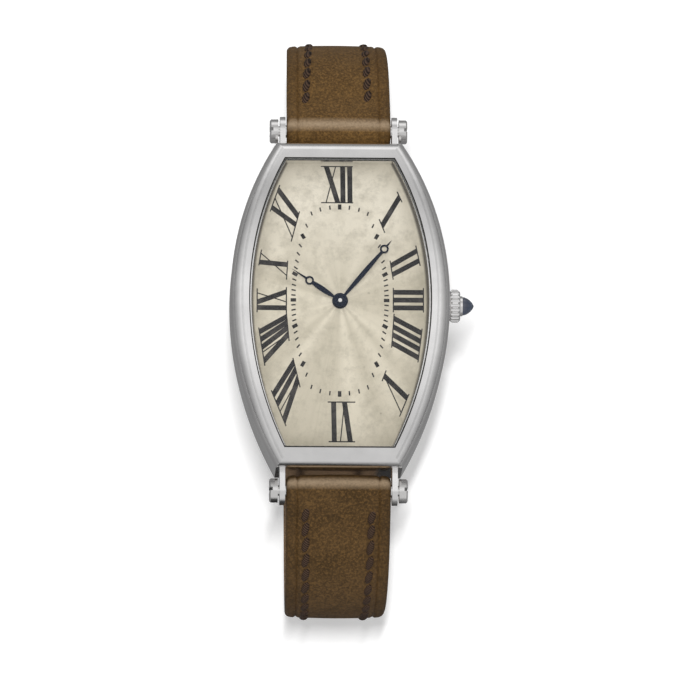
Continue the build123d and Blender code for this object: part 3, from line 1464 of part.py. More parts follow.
with BuildPart() as buckle_bar:
    with BuildSketch(buckle_side_plane):
        Circle(buckle_bar_radius)
    extrude(amount=outer_half, both=True)
finish(buckle_bar.part, "buckle_bar")

with BuildPart() as buckle_tongue:
    tongue_low = buckle_wire_radius + tongue_gap
    with BuildSketch(buckle_side_plane):
        Circle(tongue_eye_radius)
        with BuildLine():
            Polyline(
                (0, tongue_eye_radius - tongue_thickness),
                (buckle_length - buckle_side_width, tongue_low),
                (buckle_length + tongue_overhang, tongue_low),
                (buckle_length + tongue_overhang, tongue_low + tongue_thickness),
                (buckle_length - buckle_side_width, tongue_low + tongue_thickness),
                (0, tongue_eye_radius),
                close=True,
            )
        make_face()
        Circle(buckle_bar_radius + running_clearance, mode=Mode.SUBTRACT)
    extrude(amount=tongue_width / 2, both=True)
finish(buckle_tongue.part, "buckle_tongue")
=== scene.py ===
# %% [markdown]
# # A tonneau wristwatch, dressed around its CAD frame
# The watch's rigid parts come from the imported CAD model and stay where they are.
# This lesson gives them finishes, prints the dial and makes the leather strap.
# Everything is in metres: +X is 3 o'clock, +Y is 12 o'clock, +Z comes out of the dial.

from math import atan2, copysign, cos, dist, hypot, pi, radians, sin, sqrt

import bpy
import bmesh
from mathutils import Matrix, Vector


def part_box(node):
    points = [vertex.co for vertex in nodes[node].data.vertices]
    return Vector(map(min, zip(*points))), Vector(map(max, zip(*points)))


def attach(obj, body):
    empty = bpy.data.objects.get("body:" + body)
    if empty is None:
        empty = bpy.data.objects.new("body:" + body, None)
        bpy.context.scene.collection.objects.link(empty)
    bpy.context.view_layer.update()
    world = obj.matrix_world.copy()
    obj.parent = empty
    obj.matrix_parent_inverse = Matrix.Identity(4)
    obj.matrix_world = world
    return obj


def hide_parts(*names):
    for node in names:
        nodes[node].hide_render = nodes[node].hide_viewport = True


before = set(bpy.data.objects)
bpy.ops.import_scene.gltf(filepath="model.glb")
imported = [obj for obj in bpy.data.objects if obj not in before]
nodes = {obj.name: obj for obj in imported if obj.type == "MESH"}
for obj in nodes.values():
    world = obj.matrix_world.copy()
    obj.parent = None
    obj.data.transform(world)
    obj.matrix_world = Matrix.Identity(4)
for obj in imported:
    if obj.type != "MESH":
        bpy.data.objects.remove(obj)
for starter in ("Cube", "Light", "Camera"):
    if starter in bpy.data.objects:
        bpy.data.objects.remove(bpy.data.objects[starter])
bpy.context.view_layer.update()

# %% [markdown]
# ## Small tools
# Blender's operators act on whatever is selected, and the loader leaves the CAD nodes selected.
# So each step first puts everything down and picks up one object, as a hand would.

# %% Select, apply and finish one object
mm = 0.001


def pick(piece):
    """Make one object the only one selected, and the active one."""
    bpy.ops.object.select_all(action="DESELECT")
    piece.select_set(True)
    bpy.context.view_layer.objects.active = piece


def settle(piece):
    """Move an object's place, turn and size into its mesh."""
    pick(piece)
    bpy.ops.object.transform_apply(location=True, rotation=True, scale=True)


def close_up(piece, gap=0.01 * mm):
    """Merge doubled points and turn every face outwards."""
    pick(piece)
    bpy.ops.object.mode_set(mode="EDIT")
    bpy.ops.mesh.select_all(action="SELECT")
    bpy.ops.mesh.remove_doubles(threshold=gap)
    bpy.ops.mesh.normals_make_consistent(inside=False)
    bpy.ops.object.mode_set(mode="OBJECT")


def smooth(piece, angle):
    """Shade smooth, but keep the edges sharper than an angle in degrees."""
    pick(piece)
    bpy.ops.object.shade_smooth_by_angle(angle=radians(angle))


def modify(piece, kind, **settings):
    """Add one modifier, set it and apply it."""
    pick(piece)
    added = piece.modifiers.new(kind.lower(), kind)
    for key, value in settings.items():
        setattr(added, key, value)
    bpy.ops.object.modifier_apply(modifier=added.name)


def join(pieces, name):
    """Join several objects into the first of them."""
    pick(pieces[0])
    for piece in pieces:
        piece.select_set(True)
    bpy.ops.object.join()
    pieces[0].name = name
    return pieces[0]


def add(primitive, name, **settings):
    """Add one primitive while nothing is selected, and name it."""
    bpy.ops.object.select_all(action="DESELECT")
    primitive(**settings)
    made = bpy.context.object
    made.name = name
    return made


def open_blank(name):
    """An empty piece, left in edit mode for shapes to be added."""
    piece = add(bpy.ops.mesh.primitive_plane_add, name, size=mm)
    bpy.ops.object.mode_set(mode="EDIT")
    bpy.ops.mesh.delete(type="VERT")
    return piece


def heading(angle):
    """A direction in a side view, from its angle."""
    return cos(angle), sin(angle)


def step(point, direction, distance):
    """The place that a step leads to, in a side view."""
    return point[0] + direction[0] * distance, point[1] + direction[1] * distance


# %% [markdown]
# ## Camera
# The photograph looks almost straight down on the dial, tilted about 11 degrees towards 6 o'clock:
# the lower end rail shows wider than the upper one. It also leans about two degrees to the left.
# A long lens keeps the case free of perspective.

# %% Camera at the photograph's angle
camera_elevation = radians(79.0)
camera_turn = radians(2.0)
camera_distance = 1.0
framed_width = 83.58 * mm
sensor_width = 36.0
aim = Vector((1.27 * mm, -5.50 * mm, 42.8 * mm))

camera_data = bpy.data.cameras.new("camera")
camera_data.sensor_width = sensor_width
camera_data.lens = sensor_width * camera_distance / framed_width
camera_data.clip_start = 0.01
camera_data.clip_end = 10.0
camera = bpy.data.objects.new("camera", camera_data)
bpy.context.scene.collection.objects.link(camera)
toward_camera = Vector((-sin(camera_turn), -cos(camera_elevation), sin(camera_elevation))).normalized()
camera.location = aim + toward_camera * camera_distance
camera_right = Vector((0, 1, 0)).cross(toward_camera).normalized()
camera_axes = Matrix((camera_right, toward_camera.cross(camera_right), toward_camera))
camera.rotation_euler = camera_axes.transposed().to_euler()
bpy.context.scene.camera = camera
print("lens", round(camera_data.lens, 1), "mm")

# %% [markdown]
# ## Making materials
# A finish is a little network of nodes. This class adds the nodes, sets their sockets and wires them.
# Patterns read Object coordinates, so their scale is in metres: a noise scale of 1000 has
# features about one millimetre wide.

# %% A network of nodes


class Network:
    """The nodes of a material or of the world, up to the last one, which shades it."""

    def __init__(self, owner, last_node="Principled BSDF"):
        owner.use_nodes = True
        self.owner = owner
        self.tree = owner.node_tree
        self.last = self.tree.nodes[last_node]

    def feed(self, socket, value):
        """Link a socket to another one, or give it a value. Colours are opaque."""
        if isinstance(value, bpy.types.NodeSocket):
            self.tree.links.new(value, socket)
        else:
            socket.default_value = (*value, 1) if socket.type == "RGBA" else value

    def node(self, kind, inputs, **settings):
        """Add a node; inputs are values for its sockets, or sockets to link from."""
        made = self.tree.nodes.new(kind)
        for key, value in settings.items():
            setattr(made, key, value)
        for key, value in inputs.items():
            self.feed(made.inputs[key], value)
        return made

    def shade(self, inputs):
        """Feed the last node."""
        for key, value in inputs.items():
            self.feed(self.last.inputs[key], value)

    def place(self, scale=(1, 1, 1), offset=(0, 0, 0)):
        """Object coordinates, stretched and moved."""
        source = self.node("ShaderNodeTexCoord", {}).outputs["Object"]
        mapping = self.node("ShaderNodeMapping", {"Vector": source, "Scale": scale, "Location": offset})
        return mapping.outputs["Vector"]

    def axes(self, vector):
        """A vector's X, Y and Z."""
        return self.node("ShaderNodeSeparateXYZ", {0: vector}).outputs

    def noise(self, vector, scale, detail=3.0, roughness=0.55):
        """A cloud pattern between 0 and 1."""
        inputs = {"Vector": vector, "Scale": scale, "Detail": detail, "Roughness": roughness}
        return self.node("ShaderNodeTexNoise", inputs).outputs["Fac"]

    def facing(self, blend):
        """How far a surface turns away from the eye."""
        return self.node("ShaderNodeLayerWeight", {"Blend": blend}).outputs["Facing"]

    def seen(self):
        """1 where the camera looks, directly, in a mirror or through glass, and 0 for light."""
        rays = self.node("ShaderNodeLightPath", {}).outputs
        indirect = self.math("MAXIMUM", rays["Is Glossy Ray"], rays["Is Transmission Ray"])
        return self.math("MAXIMUM", rays["Is Camera Ray"], indirect)

    def ramp(self, value, low, high, start=0.0, end=1.0):
        """Stretch a value from one range to another, held at both ends."""
        inputs = {"Value": value, "From Min": low, "From Max": high, "To Min": start, "To Max": end}
        return self.node("ShaderNodeMapRange", inputs).outputs["Result"]

    def math(self, operation, *values):
        """One sum on up to three values."""
        return self.node("ShaderNodeMath", dict(enumerate(values)), operation=operation).outputs["Value"]

    def plus(self, first, second):
        """The sum of two values."""
        return self.math("ADD", first, second)

    def minus(self, first, second):
        """The difference of two values."""
        return self.math("SUBTRACT", first, second)

    def times(self, first, second):
        """The product of two values."""
        return self.math("MULTIPLY", first, second)

    def size(self, value):
        """A value without its sign."""
        return self.math("ABSOLUTE", value)

    def mix(self, share, first, second):
        """Mix two colours; 6 and 7 are the node's sockets for colours, and 2 its colour result."""
        return self.node("ShaderNodeMix", {0: share, 6: first, 7: second}, data_type="RGBA").outputs[2]

    def layers(self, colour, *coats):
        """Lay coats, each a share and a colour, over a first colour."""
        for share, coat in coats:
            colour = self.mix(share, colour, coat)
        return colour

    def bump(self, height, strength, depth):
        """A normal made from a height pattern."""
        inputs = {"Height": height, "Strength": strength, "Distance": depth}
        return self.node("ShaderNodeBump", inputs).outputs["Normal"]


def new_finish(name):
    """The network of a new material."""
    return Network(bpy.data.materials.new(name))


# %% [markdown]
# ## Metals
# The case is a white metal with a soft hand polish: not a mirror, but a satin sheen with
# faint hairlines from wear. Long thin noise, stretched along the case, makes the hairlines, and a
# broad cloud changes the roughness a little from place to place, as handling does.

# %% Metal finishes
cloud_scale = 260.0
cloud_depth = 0.08
worn_share = 0.9
hairline_depth = 0.04 * mm


def metal(name, colour, roughness, hair=0.15, hair_scale=(9000, 900, 2500)):
    """A metal with hairlines and slightly uneven polish."""
    net = new_finish(name)
    hairlines = net.noise(net.place(hair_scale), 1.0, detail=4.0)
    clouds = net.noise(net.place(), cloud_scale)
    polish = net.math("MULTIPLY_ADD", clouds, cloud_depth, roughness - cloud_depth / 2)
    worn = [channel * worn_share for channel in colour]
    net.shade({
        "Base Color": net.mix(net.ramp(clouds, 0.35, 0.75), colour, worn),
        "Metallic": 1.0,
        "Roughness": net.plus(polish, net.times(net.minus(hairlines, 0.5), hair)),
        "Normal": net.bump(hairlines, 0.06, hairline_depth),
    })
    return net.owner


case_metal = metal("case_metal", (0.86, 0.85, 0.845), 0.17)
polished_steel = metal("polished_steel", (0.80, 0.79, 0.78), 0.16, hair=0.1)
back_metal = metal("back_metal", (0.80, 0.79, 0.79), 0.33, hair=0.3, hair_scale=(600, 14000, 600))
blued_steel = metal("blued_steel", (0.010, 0.016, 0.034), 0.22, hair=0.12, hair_scale=(5000, 5000, 5000))
brass = metal("gilt_brass", (0.78, 0.56, 0.25), 0.3, hair=0.25, hair_scale=(3000, 12000, 3000))
nickel = metal("nickel_plate", (0.66, 0.64, 0.6), 0.3, hair=0.2, hair_scale=(12000, 2000, 3000))
spring_steel = metal("spring_steel", (0.2, 0.24, 0.34), 0.25, hair=0.1)

# %% [markdown]
# ## Cabochon, jewels, gasket and crystal
# The crown's stone is a dark blue spinel: a saturated body colour under a clear hard coat.
# The crystal is almost invisible. It is made see-through by its alpha, which rises where the
# glass is seen edge-on, so it keeps a faint gloss without bending or darkening the dial.

# %% Stone, rubber and glass


def stone(name, deep, light):
    """A polished stone with a cloudy depth of colour, and a painted sheen that lightens it where it is seen
    edge-on.
    """
    net = new_finish(name)
    depth = net.ramp(net.noise(net.place(), 900.0, detail=2.0), 0.3, 0.7, 0.0, 0.5)
    # painted sheen: lighter where the surface turns away from the eye
    colour = net.layers(deep, (depth, light), (net.times(net.facing(0.35), 0.5), light))
    net.shade({
        "Base Color": colour, "Roughness": 0.06, "IOR": 1.7, "Coat Weight": 1.0, "Coat Roughness": 0.03})
    return net.owner


blue_stone = stone("blue_stone", (0.009, 0.014, 0.032), (0.06, 0.085, 0.14))
ruby = stone("ruby", (0.3, 0.005, 0.03), (0.7, 0.05, 0.12))

net = new_finish("gasket_rubber")
gasket_rubber = net.owner
dull = net.mix(net.noise(net.place(), 1500.0), (0.012, 0.012, 0.011), (0.03, 0.028, 0.024))
net.shade({"Base Color": dull, "Roughness": 0.6})

net = new_finish("crystal_glass")
crystal_glass = net.owner
smear = net.noise(net.place(), 120.0, detail=2.0)
net.shade({
    "Base Color": (0.93, 0.95, 0.94),
    "IOR": 1.5,
    "Alpha": net.ramp(net.facing(0.25), 0.1, 1.0, 0.012, 0.5),
    "Roughness": net.ramp(smear, 0.3, 0.8, 0.02, 0.07),
})

# %% [markdown]
# ## The dial's finish
# An old silvered dial: a warm, matt metal whose brushing runs out from the hands like rays.
# Rays depend only on direction, so the pattern reads the position divided by its own length.
# Age darkens the dial towards its rim, together with painted shade under the bezel, and leaves small
# specks; broad soft wedges of painted sheen stand for light caught by the brushing. Painted light
# makes the half towards 12 o'clock brighter, and a painted dark line stands for the bezel's shadow on the
# edge.

# %% Silvered dial
side_arc_radius = 38.6 * mm
dial_half_width = 10.9 * mm
dial_half_length = 17.65 * mm
rim_rounding = 1.5 * mm
rim_unevenness = 2.2 * mm
rim_start = -0.2 * mm
rim_stop = 2.6 * mm
painted_edge_shadow_start = 0.45 * mm
painted_edge_shadow_reach = 0.7 * mm
painted_light_start = 2.0 * mm
painted_light_stop = 12.0 * mm
brushing_depth = 0.03 * mm
brushing_and_sheen_silver = (0.74, 0.68, 0.55)
warm_silver = (0.56, 0.51, 0.40)
aged_and_shaded_silver = (0.30, 0.27, 0.20)
painted_light_silver = (0.90, 0.84, 0.71)
painted_edge_shadow = (0.03, 0.025, 0.02)
speck_brown = (0.1, 0.08, 0.05)


def rim_distances(net, place):
    """A dial point's distance from the nearer side arc, and from the nearest rim."""
    along = net.size(net.axes(place)["Y"])
    arc = net.math("SQRT", net.minus(side_arc_radius**2, net.math("POWER", along, 2.0)))
    from_middle = net.minus(arc, net.size(net.axes(place)["X"]))
    from_side = net.minus(from_middle, side_arc_radius - dial_half_width)
    return from_side, net.math("SMOOTH_MIN", from_side, net.minus(dial_half_length, along), rim_rounding)


def dial_specks(net, place):
    """Small round specks that stand in clusters."""
    cells = net.node("ShaderNodeTexVoronoi", {"Vector": place, "Scale": 420.0}).outputs["Distance"]
    clusters = net.ramp(net.noise(place, 330.0, detail=1.0), 0.55, 0.62)
    return net.times(net.ramp(cells, 0.05, 0.10, 1.0, 0.0), clusters)


net = new_finish("silvered_dial")
silvered_dial = net.owner
place = net.place()
flat_place = net.node("ShaderNodeVectorMath", {0: place, 1: (1, 1, 0)}, operation="MULTIPLY").outputs[0]
direction = net.node("ShaderNodeVectorMath", {0: flat_place}, operation="NORMALIZE").outputs[0]
painted_sheen_wedges = net.noise(direction, scale=2.2, detail=1.0)
rays = net.noise(direction, scale=42.0, detail=6.0, roughness=0.7)
clouds = net.noise(place, scale=230.0, detail=4.0, roughness=0.6)
stains = net.noise(net.place(offset=(0.31, 0.17, 0.0)), scale=520.0, detail=6.0, roughness=0.75)
grain = net.noise(place, scale=5200.0, detail=2.0)
from_side, from_rim = rim_distances(net, place)
uneven_rim = net.plus(from_rim, net.times(net.minus(clouds, 0.5), rim_unevenness))
# darker towards the rim: partly age, partly painted shade under the bezel
rim_shade = net.ramp(uneven_rim, rim_start, rim_stop, 1.0, 0.0)
relief = net.plus(net.times(rays, 0.7), net.times(grain, 0.3))
net.shade({
    "Base Color": net.layers(
        warm_silver,
        # painted sheen: broad wedges made lighter, standing for light caught by the brushing
        (net.ramp(painted_sheen_wedges, 0.42, 0.58), brushing_and_sheen_silver),
        (net.ramp(rays, 0.3, 0.7, 0.0, 0.4), brushing_and_sheen_silver),
        # painted light: the half towards 12 o'clock is made lighter
        (net.ramp(net.axes(place)["Y"], painted_light_start, painted_light_stop, 0.0, 0.8), painted_light_silver),
        (net.ramp(clouds, 0.48, 0.7, 0.0, 0.45), warm_silver),
        (net.ramp(stains, 0.46, 0.72, 0.0, 0.5), aged_and_shaded_silver),
        (net.times(rim_shade, 0.55), aged_and_shaded_silver),
        # painted shadow: a dark line along the side where the bezel shades the dial's edge
        (net.ramp(from_side, painted_edge_shadow_start, painted_edge_shadow_reach, 0.85, 0.0), painted_edge_shadow),
        (net.times(dial_specks(net, place), 0.55), speck_brown),
    ),
    "Metallic": 0.35,
    "Roughness": net.ramp(rays, 0.2, 0.8, 0.38, 0.58),
    "Normal": net.bump(relief, 0.25, brushing_depth),
})
print("dial finish has", len(net.tree.nodes), "nodes")

# %% [markdown]
# ## Printing ink
# The numerals are printed in thick black enamel that has greyed with age: nearly black,
# slightly glossy, and a little uneven.

# %% Ink
net = new_finish("dial_ink")
dial_ink = net.owner
faded = net.noise(net.place(), 700.0)
net.shade({
    "Base Color": net.mix(net.ramp(faded, 0.45, 0.75), (0.012, 0.011, 0.012), (0.06, 0.055, 0.052)),
    "Roughness": net.ramp(faded, 0.3, 0.7, 0.3, 0.5),
    "Specular IOR Level": 0.25,
})

# %% [markdown]
# ## Give the frame's metal parts their finishes
# The CAD solids have the right shape already. The movement mixes gilt and steel wheels,
# nickel-plated bridges and blued springs. The centre wheel is steel, as the bright end of its
# arbor shows between the hands.

# %% Assign finishes to CAD nodes
finishes = (
    (case_metal, "case_body bezel crown crown_tube"),
    (polished_steel, "strap_screws strap_bar_upper strap_bar_lower buckle_frame buckle_bar buckle_tongue "
                     "case_screws winding_stem winding_pinion sliding_pinion setting_lever ratchet_wheel "
                     "crown_wheel click barrel_arbor pallet_lever movement_screws escape_wheel centre_wheel"),
    (back_metal, "case_back"),
    (blued_steel, "hour_hand minute_hand cannon_pinion"),
    (brass, "barrel barrel_cover third_wheel fourth_wheel balance_wheel "
            "minute_wheel hour_wheel setting_wheel"),
    (nickel, "main_plate barrel_bridge train_bridge balance_cock pallet_cock movement_ring"),
    (spring_steel, "mainspring hairspring"),
    (blue_stone, "crown_cabochon"),
    (ruby, "jewels"),
    (gasket_rubber, "crystal_gasket"),
    (crystal_glass, "crystal"),
    (silvered_dial, "dial"),
)
dressed = 0
for finish, members in finishes:
    for member in members.split():
        mesh = nodes[member].data
        mesh.materials.clear()
        mesh.materials.append(finish)
        dressed += 1
print("finishes on", dressed, "CAD nodes of", len(nodes))
nodes["crystal"].visible_shadow = False

# %% [markdown]
# ## Printing on a curved dial
# The dial bends along its length like the case, so print has to follow it.
# Every stroke starts as a flat four-sided piece. It is divided and then laid on the dial: each
# point's height comes from the dial's own curve, and a hundredth of a millimetre stays proud.

# %% The dial's curve and the drawing of strokes
curve_centre_height = -8.0 * mm
dial_curve_radius = 52.95 * mm
print_proud = 0.012 * mm
print_thickness = 0.02 * mm
photo_scale = 0.1194 * mm
hands_pixel = (338.8, 299.8)
hub_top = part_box("minute_hand")[1].z


def dial_height(y):
    """The height of the dial's face at a distance along the case."""
    return curve_centre_height + sqrt(dial_curve_radius**2 - y**2)


def on_dial(x_pixel, y_pixel):
    """A point of the dial from its place in the photograph, measured from the hands.

    The tilted view lowers what lies deeper, so the dial's own fall at y is allowed for.
    """
    up = (hands_pixel[1] - y_pixel) * photo_scale
    y = up / sin(camera_elevation)
    for _ in range(3):
        y = (up + (hub_top - dial_height(y)) * cos(camera_elevation)) / sin(camera_elevation)
    return Vector(((x_pixel - hands_pixel[0]) * photo_scale, y, 0))


def print_piece(name, strokes):
    """Print a list of four-cornered strokes on the dial as one mesh."""
    piece = open_blank(name)
    for corners in strokes:
        bpy.ops.mesh.primitive_plane_add(size=mm)
        sheet = bmesh.from_edit_mesh(piece.data)
        fresh = [vertex for vertex in sheet.verts if vertex.select]
        loop = [corner.vert for corner in fresh[0].link_faces[0].loops]
        for vertex, corner in zip(loop, corners):
            vertex.co = Vector((corner[0], corner[1], 0))
        bmesh.update_edit_mesh(piece.data)
    bpy.ops.mesh.select_all(action="SELECT")
    bpy.ops.mesh.subdivide(number_cuts=3)
    bpy.ops.mesh.normals_make_consistent(inside=False)
    bpy.ops.mesh.extrude_region_move(TRANSFORM_OT_translate={"value": (0, 0, print_thickness)})
    bpy.ops.object.mode_set(mode="OBJECT")
    for vertex in piece.data.vertices:
        vertex.co.z += dial_height(vertex.co.y) + print_proud - print_thickness
    close_up(piece)
    piece.data.materials.append(dial_ink)
    return piece


# %% [markdown]
# ## Roman numerals
# Each numeral stands with its head to the rim. Its strokes lie along the hour's ray, between two
# serif lines that follow the case side, so a numeral near a corner is a leaning parallelogram.
# So a numeral is described by its two serif lines, and by the shares of them where each of its
# strokes ends. Down-strokes are broad and up-strokes are hairlines.

# %% Numerals
broad = 0.60 * mm
hairline = 0.13 * mm
serif_width = 0.14 * mm
serif_overhang = 0.35 * mm

# the ends of each numeral's inner line, then of its outer line, in the photograph's pixels
numeral_lines = {
    "XII": ((321.7, 201.9), (351.0, 201.9), (321.7, 165.2), (351.0, 165.2)),
    "I": ((378.9, 219.5), (383.3, 230.5), (397.2, 191.6), (400.9, 199.7)),
    "II": ((389.2, 261.3), (391.8, 277.4), (415.1, 245.9), (418.8, 263.5)),
    "III": ((392.1, 288.5), (392.1, 310.1), (422.2, 288.5), (422.2, 310.1)),
    "IIII": ((392.8, 314.5), (390.6, 345.3), (420.7, 329.1), (417.0, 359.9)),
    "V": ((384.6, 371.0), (381.6, 379.0), (407.5, 394.4), (399.4, 414.2)),
    "VI": ((353.0, 401.5), (328.4, 401.5), (353.2, 441.1), (329.7, 441.1)),
    "VII": ((298.9, 385.6), (292.3, 359.2), (285.0, 424.5), (271.1, 391.5)),
    "VIII": ((287.9, 339.4), (285.4, 314.5), (263.7, 364.3), (257.9, 329.1)),
    "IX": ((285.2, 311.5), (285.2, 288.5), (256.0, 311.0), (256.0, 290.0)),
    "X": ((285.4, 278.2), (286.5, 262.0), (257.9, 264.2), (260.1, 251.0)),
    "XI": ((290.4, 240.0), (298.2, 212.1), (269.6, 209.9), (278.4, 185.7)),
}


def uprights(*shares):
    """Broad strokes that stand at the same share of both lines."""
    return tuple((share, share, broad) for share in shares)


# strokes as (inner share, outer share, width), read with the head outwards, from left to right
numeral_strokes = {
    "XII": ((0.52, 0.14, broad), (0.12, 0.46, hairline), *uprights(0.70, 0.94)),
    "I": uprights(0.5),
    "II": uprights(0.22, 0.78),
    "III": uprights(0.14, 0.5, 0.86),
    "IIII": uprights(0.1, 0.37, 0.63, 0.9),
    "V": ((0.5, 0.14, broad), (0.5, 0.88, hairline)),
    "VI": ((0.38, 0.14, broad), (0.38, 0.56, hairline), *uprights(0.82)),
    "VII": ((0.27, 0.12, broad), (0.27, 0.40, hairline), *uprights(0.62, 0.90)),
    "VIII": ((0.22, 0.10, broad), (0.22, 0.34, hairline), *uprights(0.48, 0.70, 0.92)),
    "IX": (*uprights(0.16), (0.86, 0.42, broad), (0.42, 0.86, hairline)),
    "X": ((0.84, 0.16, broad), (0.16, 0.84, hairline)),
    "XI": ((0.56, 0.12, broad), (0.10, 0.50, hairline), *uprights(0.86)),
}
least_lean = 0.35


def stroke_between(start, stop, width, along):
    """A broad stroke between two points, whose ends lie along the serif direction."""
    half = along.normalized() * width / 2
    return (start - half, start + half, stop + half, stop - half)


def numeral_shape(lines, strokes):
    """The four-cornered strokes and serifs of one numeral."""
    inner_start, inner_stop, outer_start, outer_stop = [on_dial(*pixel) for pixel in lines]
    along = outer_stop - outer_start
    shapes = []
    for inner_share, outer_share, width in strokes:
        foot = inner_start.lerp(inner_stop, inner_share)
        head = outer_start.lerp(outer_stop, outer_share)
        lean = abs(along.normalized().cross((head - foot).normalized()).z)
        shapes.append(stroke_between(foot, head, width / max(lean, least_lean), along))
    for start, stop in ((inner_start, inner_stop), (outer_start, outer_stop)):
        run = (stop - start).normalized()
        beyond = run * serif_overhang / 2
        across = Vector((-run.y, run.x, 0))
        shapes.append(stroke_between(start - beyond, stop + beyond, serif_width, across))
    return shapes


numeral_shapes = []
for hour, lines in numeral_lines.items():
    numeral_shapes += numeral_shape(lines, numeral_strokes[hour])
dial_numerals = print_piece("dial_numerals", numeral_shapes)
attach(dial_numerals, "case")
print("numerals:", len(numeral_shapes), "strokes")

# %% [markdown]
# ## Minute track
# Sixty short ticks stand on a small barrel, one every six degrees. The barrel's sides are long
# arcs and its ends short ones, so a tick's distance is the shorter of two: to the side arc along
# its ray, and to the end arc. Every fifth tick is bold.

# %% Minute ticks
track_half_width = 46.6 * photo_scale
track_half_length = 93.6 * photo_scale
track_side_radius = 214.0 * photo_scale
track_end_radius = 70.0 * photo_scale
# length and width
tick_size = (0.52 * mm, 0.17 * mm)
bold_tick_size = (0.66 * mm, 0.42 * mm)


def arc_reach(along_ray, radius, half_size):
    """How far along a ray an arc lies, whose middle is half_size from the hands."""
    centre = (half_size - radius) * along_ray
    return centre + sqrt(centre**2 + radius**2 - (half_size - radius) ** 2)


def track_reach(angle):
    """How far the minute track lies from the hands, at an angle from 12 o'clock."""
    side = arc_reach(abs(sin(angle)), track_side_radius, track_half_width)
    end = arc_reach(abs(cos(angle)), track_end_radius, track_half_length)
    return min(side, end)


ticks = []
for minute in range(60):
    angle = 2 * pi * minute / 60
    ray = Vector((sin(angle), cos(angle), 0))
    length, width = bold_tick_size if minute % 5 == 0 else tick_size
    reach = track_reach(angle) / photo_scale
    middle = on_dial(hands_pixel[0] + ray.x * reach, hands_pixel[1] - ray.y * reach)
    half = ray * (length / 2)
    ticks.append(stroke_between(middle - half, middle + half, width, Vector((-ray.y, ray.x, 0))))
minute_track = print_piece("minute_track", ticks)
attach(minute_track, "case")
print("minute track:", len(ticks), "ticks")

# %% [markdown]
# ## Suede
# Nubuck is leather with its face sanded to a short, soft nap. It has no gloss, but the nap
# lights up at grazing angles, which the shader's sheen gives. Its colour drifts between olive,
# pale and dark brown where the nap lies another way. The roll over each bar carries a painted
# highlight, and the lower half is a darker copy of the suede: painted shade.
# The pattern is taken from Object coordinates at three scales: cloudy patches of a few
# millimetres, the nap of a third of a millimetre, and a fine grain that also makes the bump.

# %% Leather finishes
nap_scale = 3500.0
pale_gain = 2.1
deep_gain = 0.4
side_shade_start = 4.3 * mm
side_shade_stop = 6.3 * mm
# painted highlight on the roll over each bar, standing for the gloss that light gives there
roll_highlight_floor = 40.3 * mm
roll_highlight_rise = 0.4 * mm
roll_highlight_colour = (0.34, 0.25, 0.16)


def leather(name, dark, light, patch_scale=260.0, grain_scale=6000.0, rough=0.7, sheen=0.12,
            grain_depth=0.05 * mm, roll_highlight_reach=0.0):
    """A leather with patches, a fine grain and a nap that catches light."""
    net = new_finish(name)
    place = net.place()
    x, y, z = net.axes(place)
    patches = net.noise(place, patch_scale, 5.0, 0.62)
    nap = net.noise(place, nap_scale, 6.0, 0.75)
    grain = net.noise(place, grain_scale, 3.0, 0.7)
    scuffs = net.noise(net.place((900, 2600, 900)), 1.0, 4.0, 0.65)
    pale = [min(1.0, channel * pale_gain) for channel in light]
    deep = [channel * deep_gain for channel in dark]
    from_bar = net.size(net.minus(net.size(y), roll_highlight_reach))
    near_bar = net.ramp(from_bar, 0.95 * mm, 0.1 * mm)
    roll_highlight = net.times(near_bar, net.ramp(z, roll_highlight_floor, roll_highlight_floor + roll_highlight_rise))
    net.shade({
        "Base Color": net.layers(
            dark,
            (net.ramp(patches, 0.3, 0.7), light),
            (net.ramp(nap, 0.50, 0.60, 0.0, 0.5), pale),
            (net.ramp(nap, 0.48, 0.38, 0.0, 0.5), deep),
            (net.ramp(grain, 0.45, 0.2, 0.0, 0.5), deep),
            (net.ramp(scuffs, 0.55, 0.75, 0.0, 0.35), deep),
            (net.ramp(net.size(x), side_shade_start, side_shade_stop, 0.0, 0.35), deep),
            # painted highlight on the roll
            (net.times(roll_highlight, net.ramp(nap, 0.25, 0.6, 0.45, 1.0)), roll_highlight_colour),
        ),
        "Roughness": net.ramp(patches, 0.3, 0.7, rough + 0.08, rough - 0.1),
        "Normal": net.bump(net.plus(net.times(grain, 0.8), net.times(patches, 0.5)), 0.6, grain_depth),
        "Specular IOR Level": 0.3,
        "Sheen Weight": sheen,
        "Sheen Roughness": 0.5,
        "Sheen Tint": light,
    })
    return net.owner


suede = leather("suede", (0.080, 0.042, 0.012), (0.122, 0.065, 0.018), roll_highlight_reach=22.5 * mm)
# the lower half's suede is a darker copy of the upper half's: painted shade
shaded_suede = leather("shaded_suede", (0.050, 0.027, 0.008), (0.090, 0.048, 0.0145), roll_highlight_reach=21.2 * mm)
lining_leather = leather("lining_leather", (0.19, 0.115, 0.06), (0.27, 0.175, 0.10),
                         patch_scale=500.0, grain_scale=4500.0, rough=0.6, sheen=0.1)
edge_paint = leather("edge_paint", (0.022, 0.013, 0.007), (0.04, 0.024, 0.013),
                     patch_scale=600.0, grain_scale=5000.0, rough=0.5, sheen=0.05, grain_depth=0.02 * mm)

net = new_finish("waxed_thread")
thread = net.owner
strands = {"Vector": net.place(), "Scale": 1600.0, "Distortion": 1.5, "Detail": 2.0}
twist = net.node("ShaderNodeTexWave", strands, bands_direction="DIAGONAL").outputs["Fac"]
net.shade({
    "Base Color": net.mix(twist, (0.009, 0.005, 0.003), (0.085, 0.050, 0.032)),
    "Normal": net.bump(twist, 0.7, 0.06 * mm),
    "Roughness": 0.6,
    "Specular IOR Level": 0.2,
})

# %% [markdown]
# ## The strap's line
# Seen from the side, each strap half runs straight down from its bar, turns over a round
# shoulder and curls under the case. The 6 o'clock half ends in a flat tail that the watch stands
# on, the 12 o'clock half in a straight end that carries the buckle.
# The line is kept as stations: a point, and the direction out of the leather.

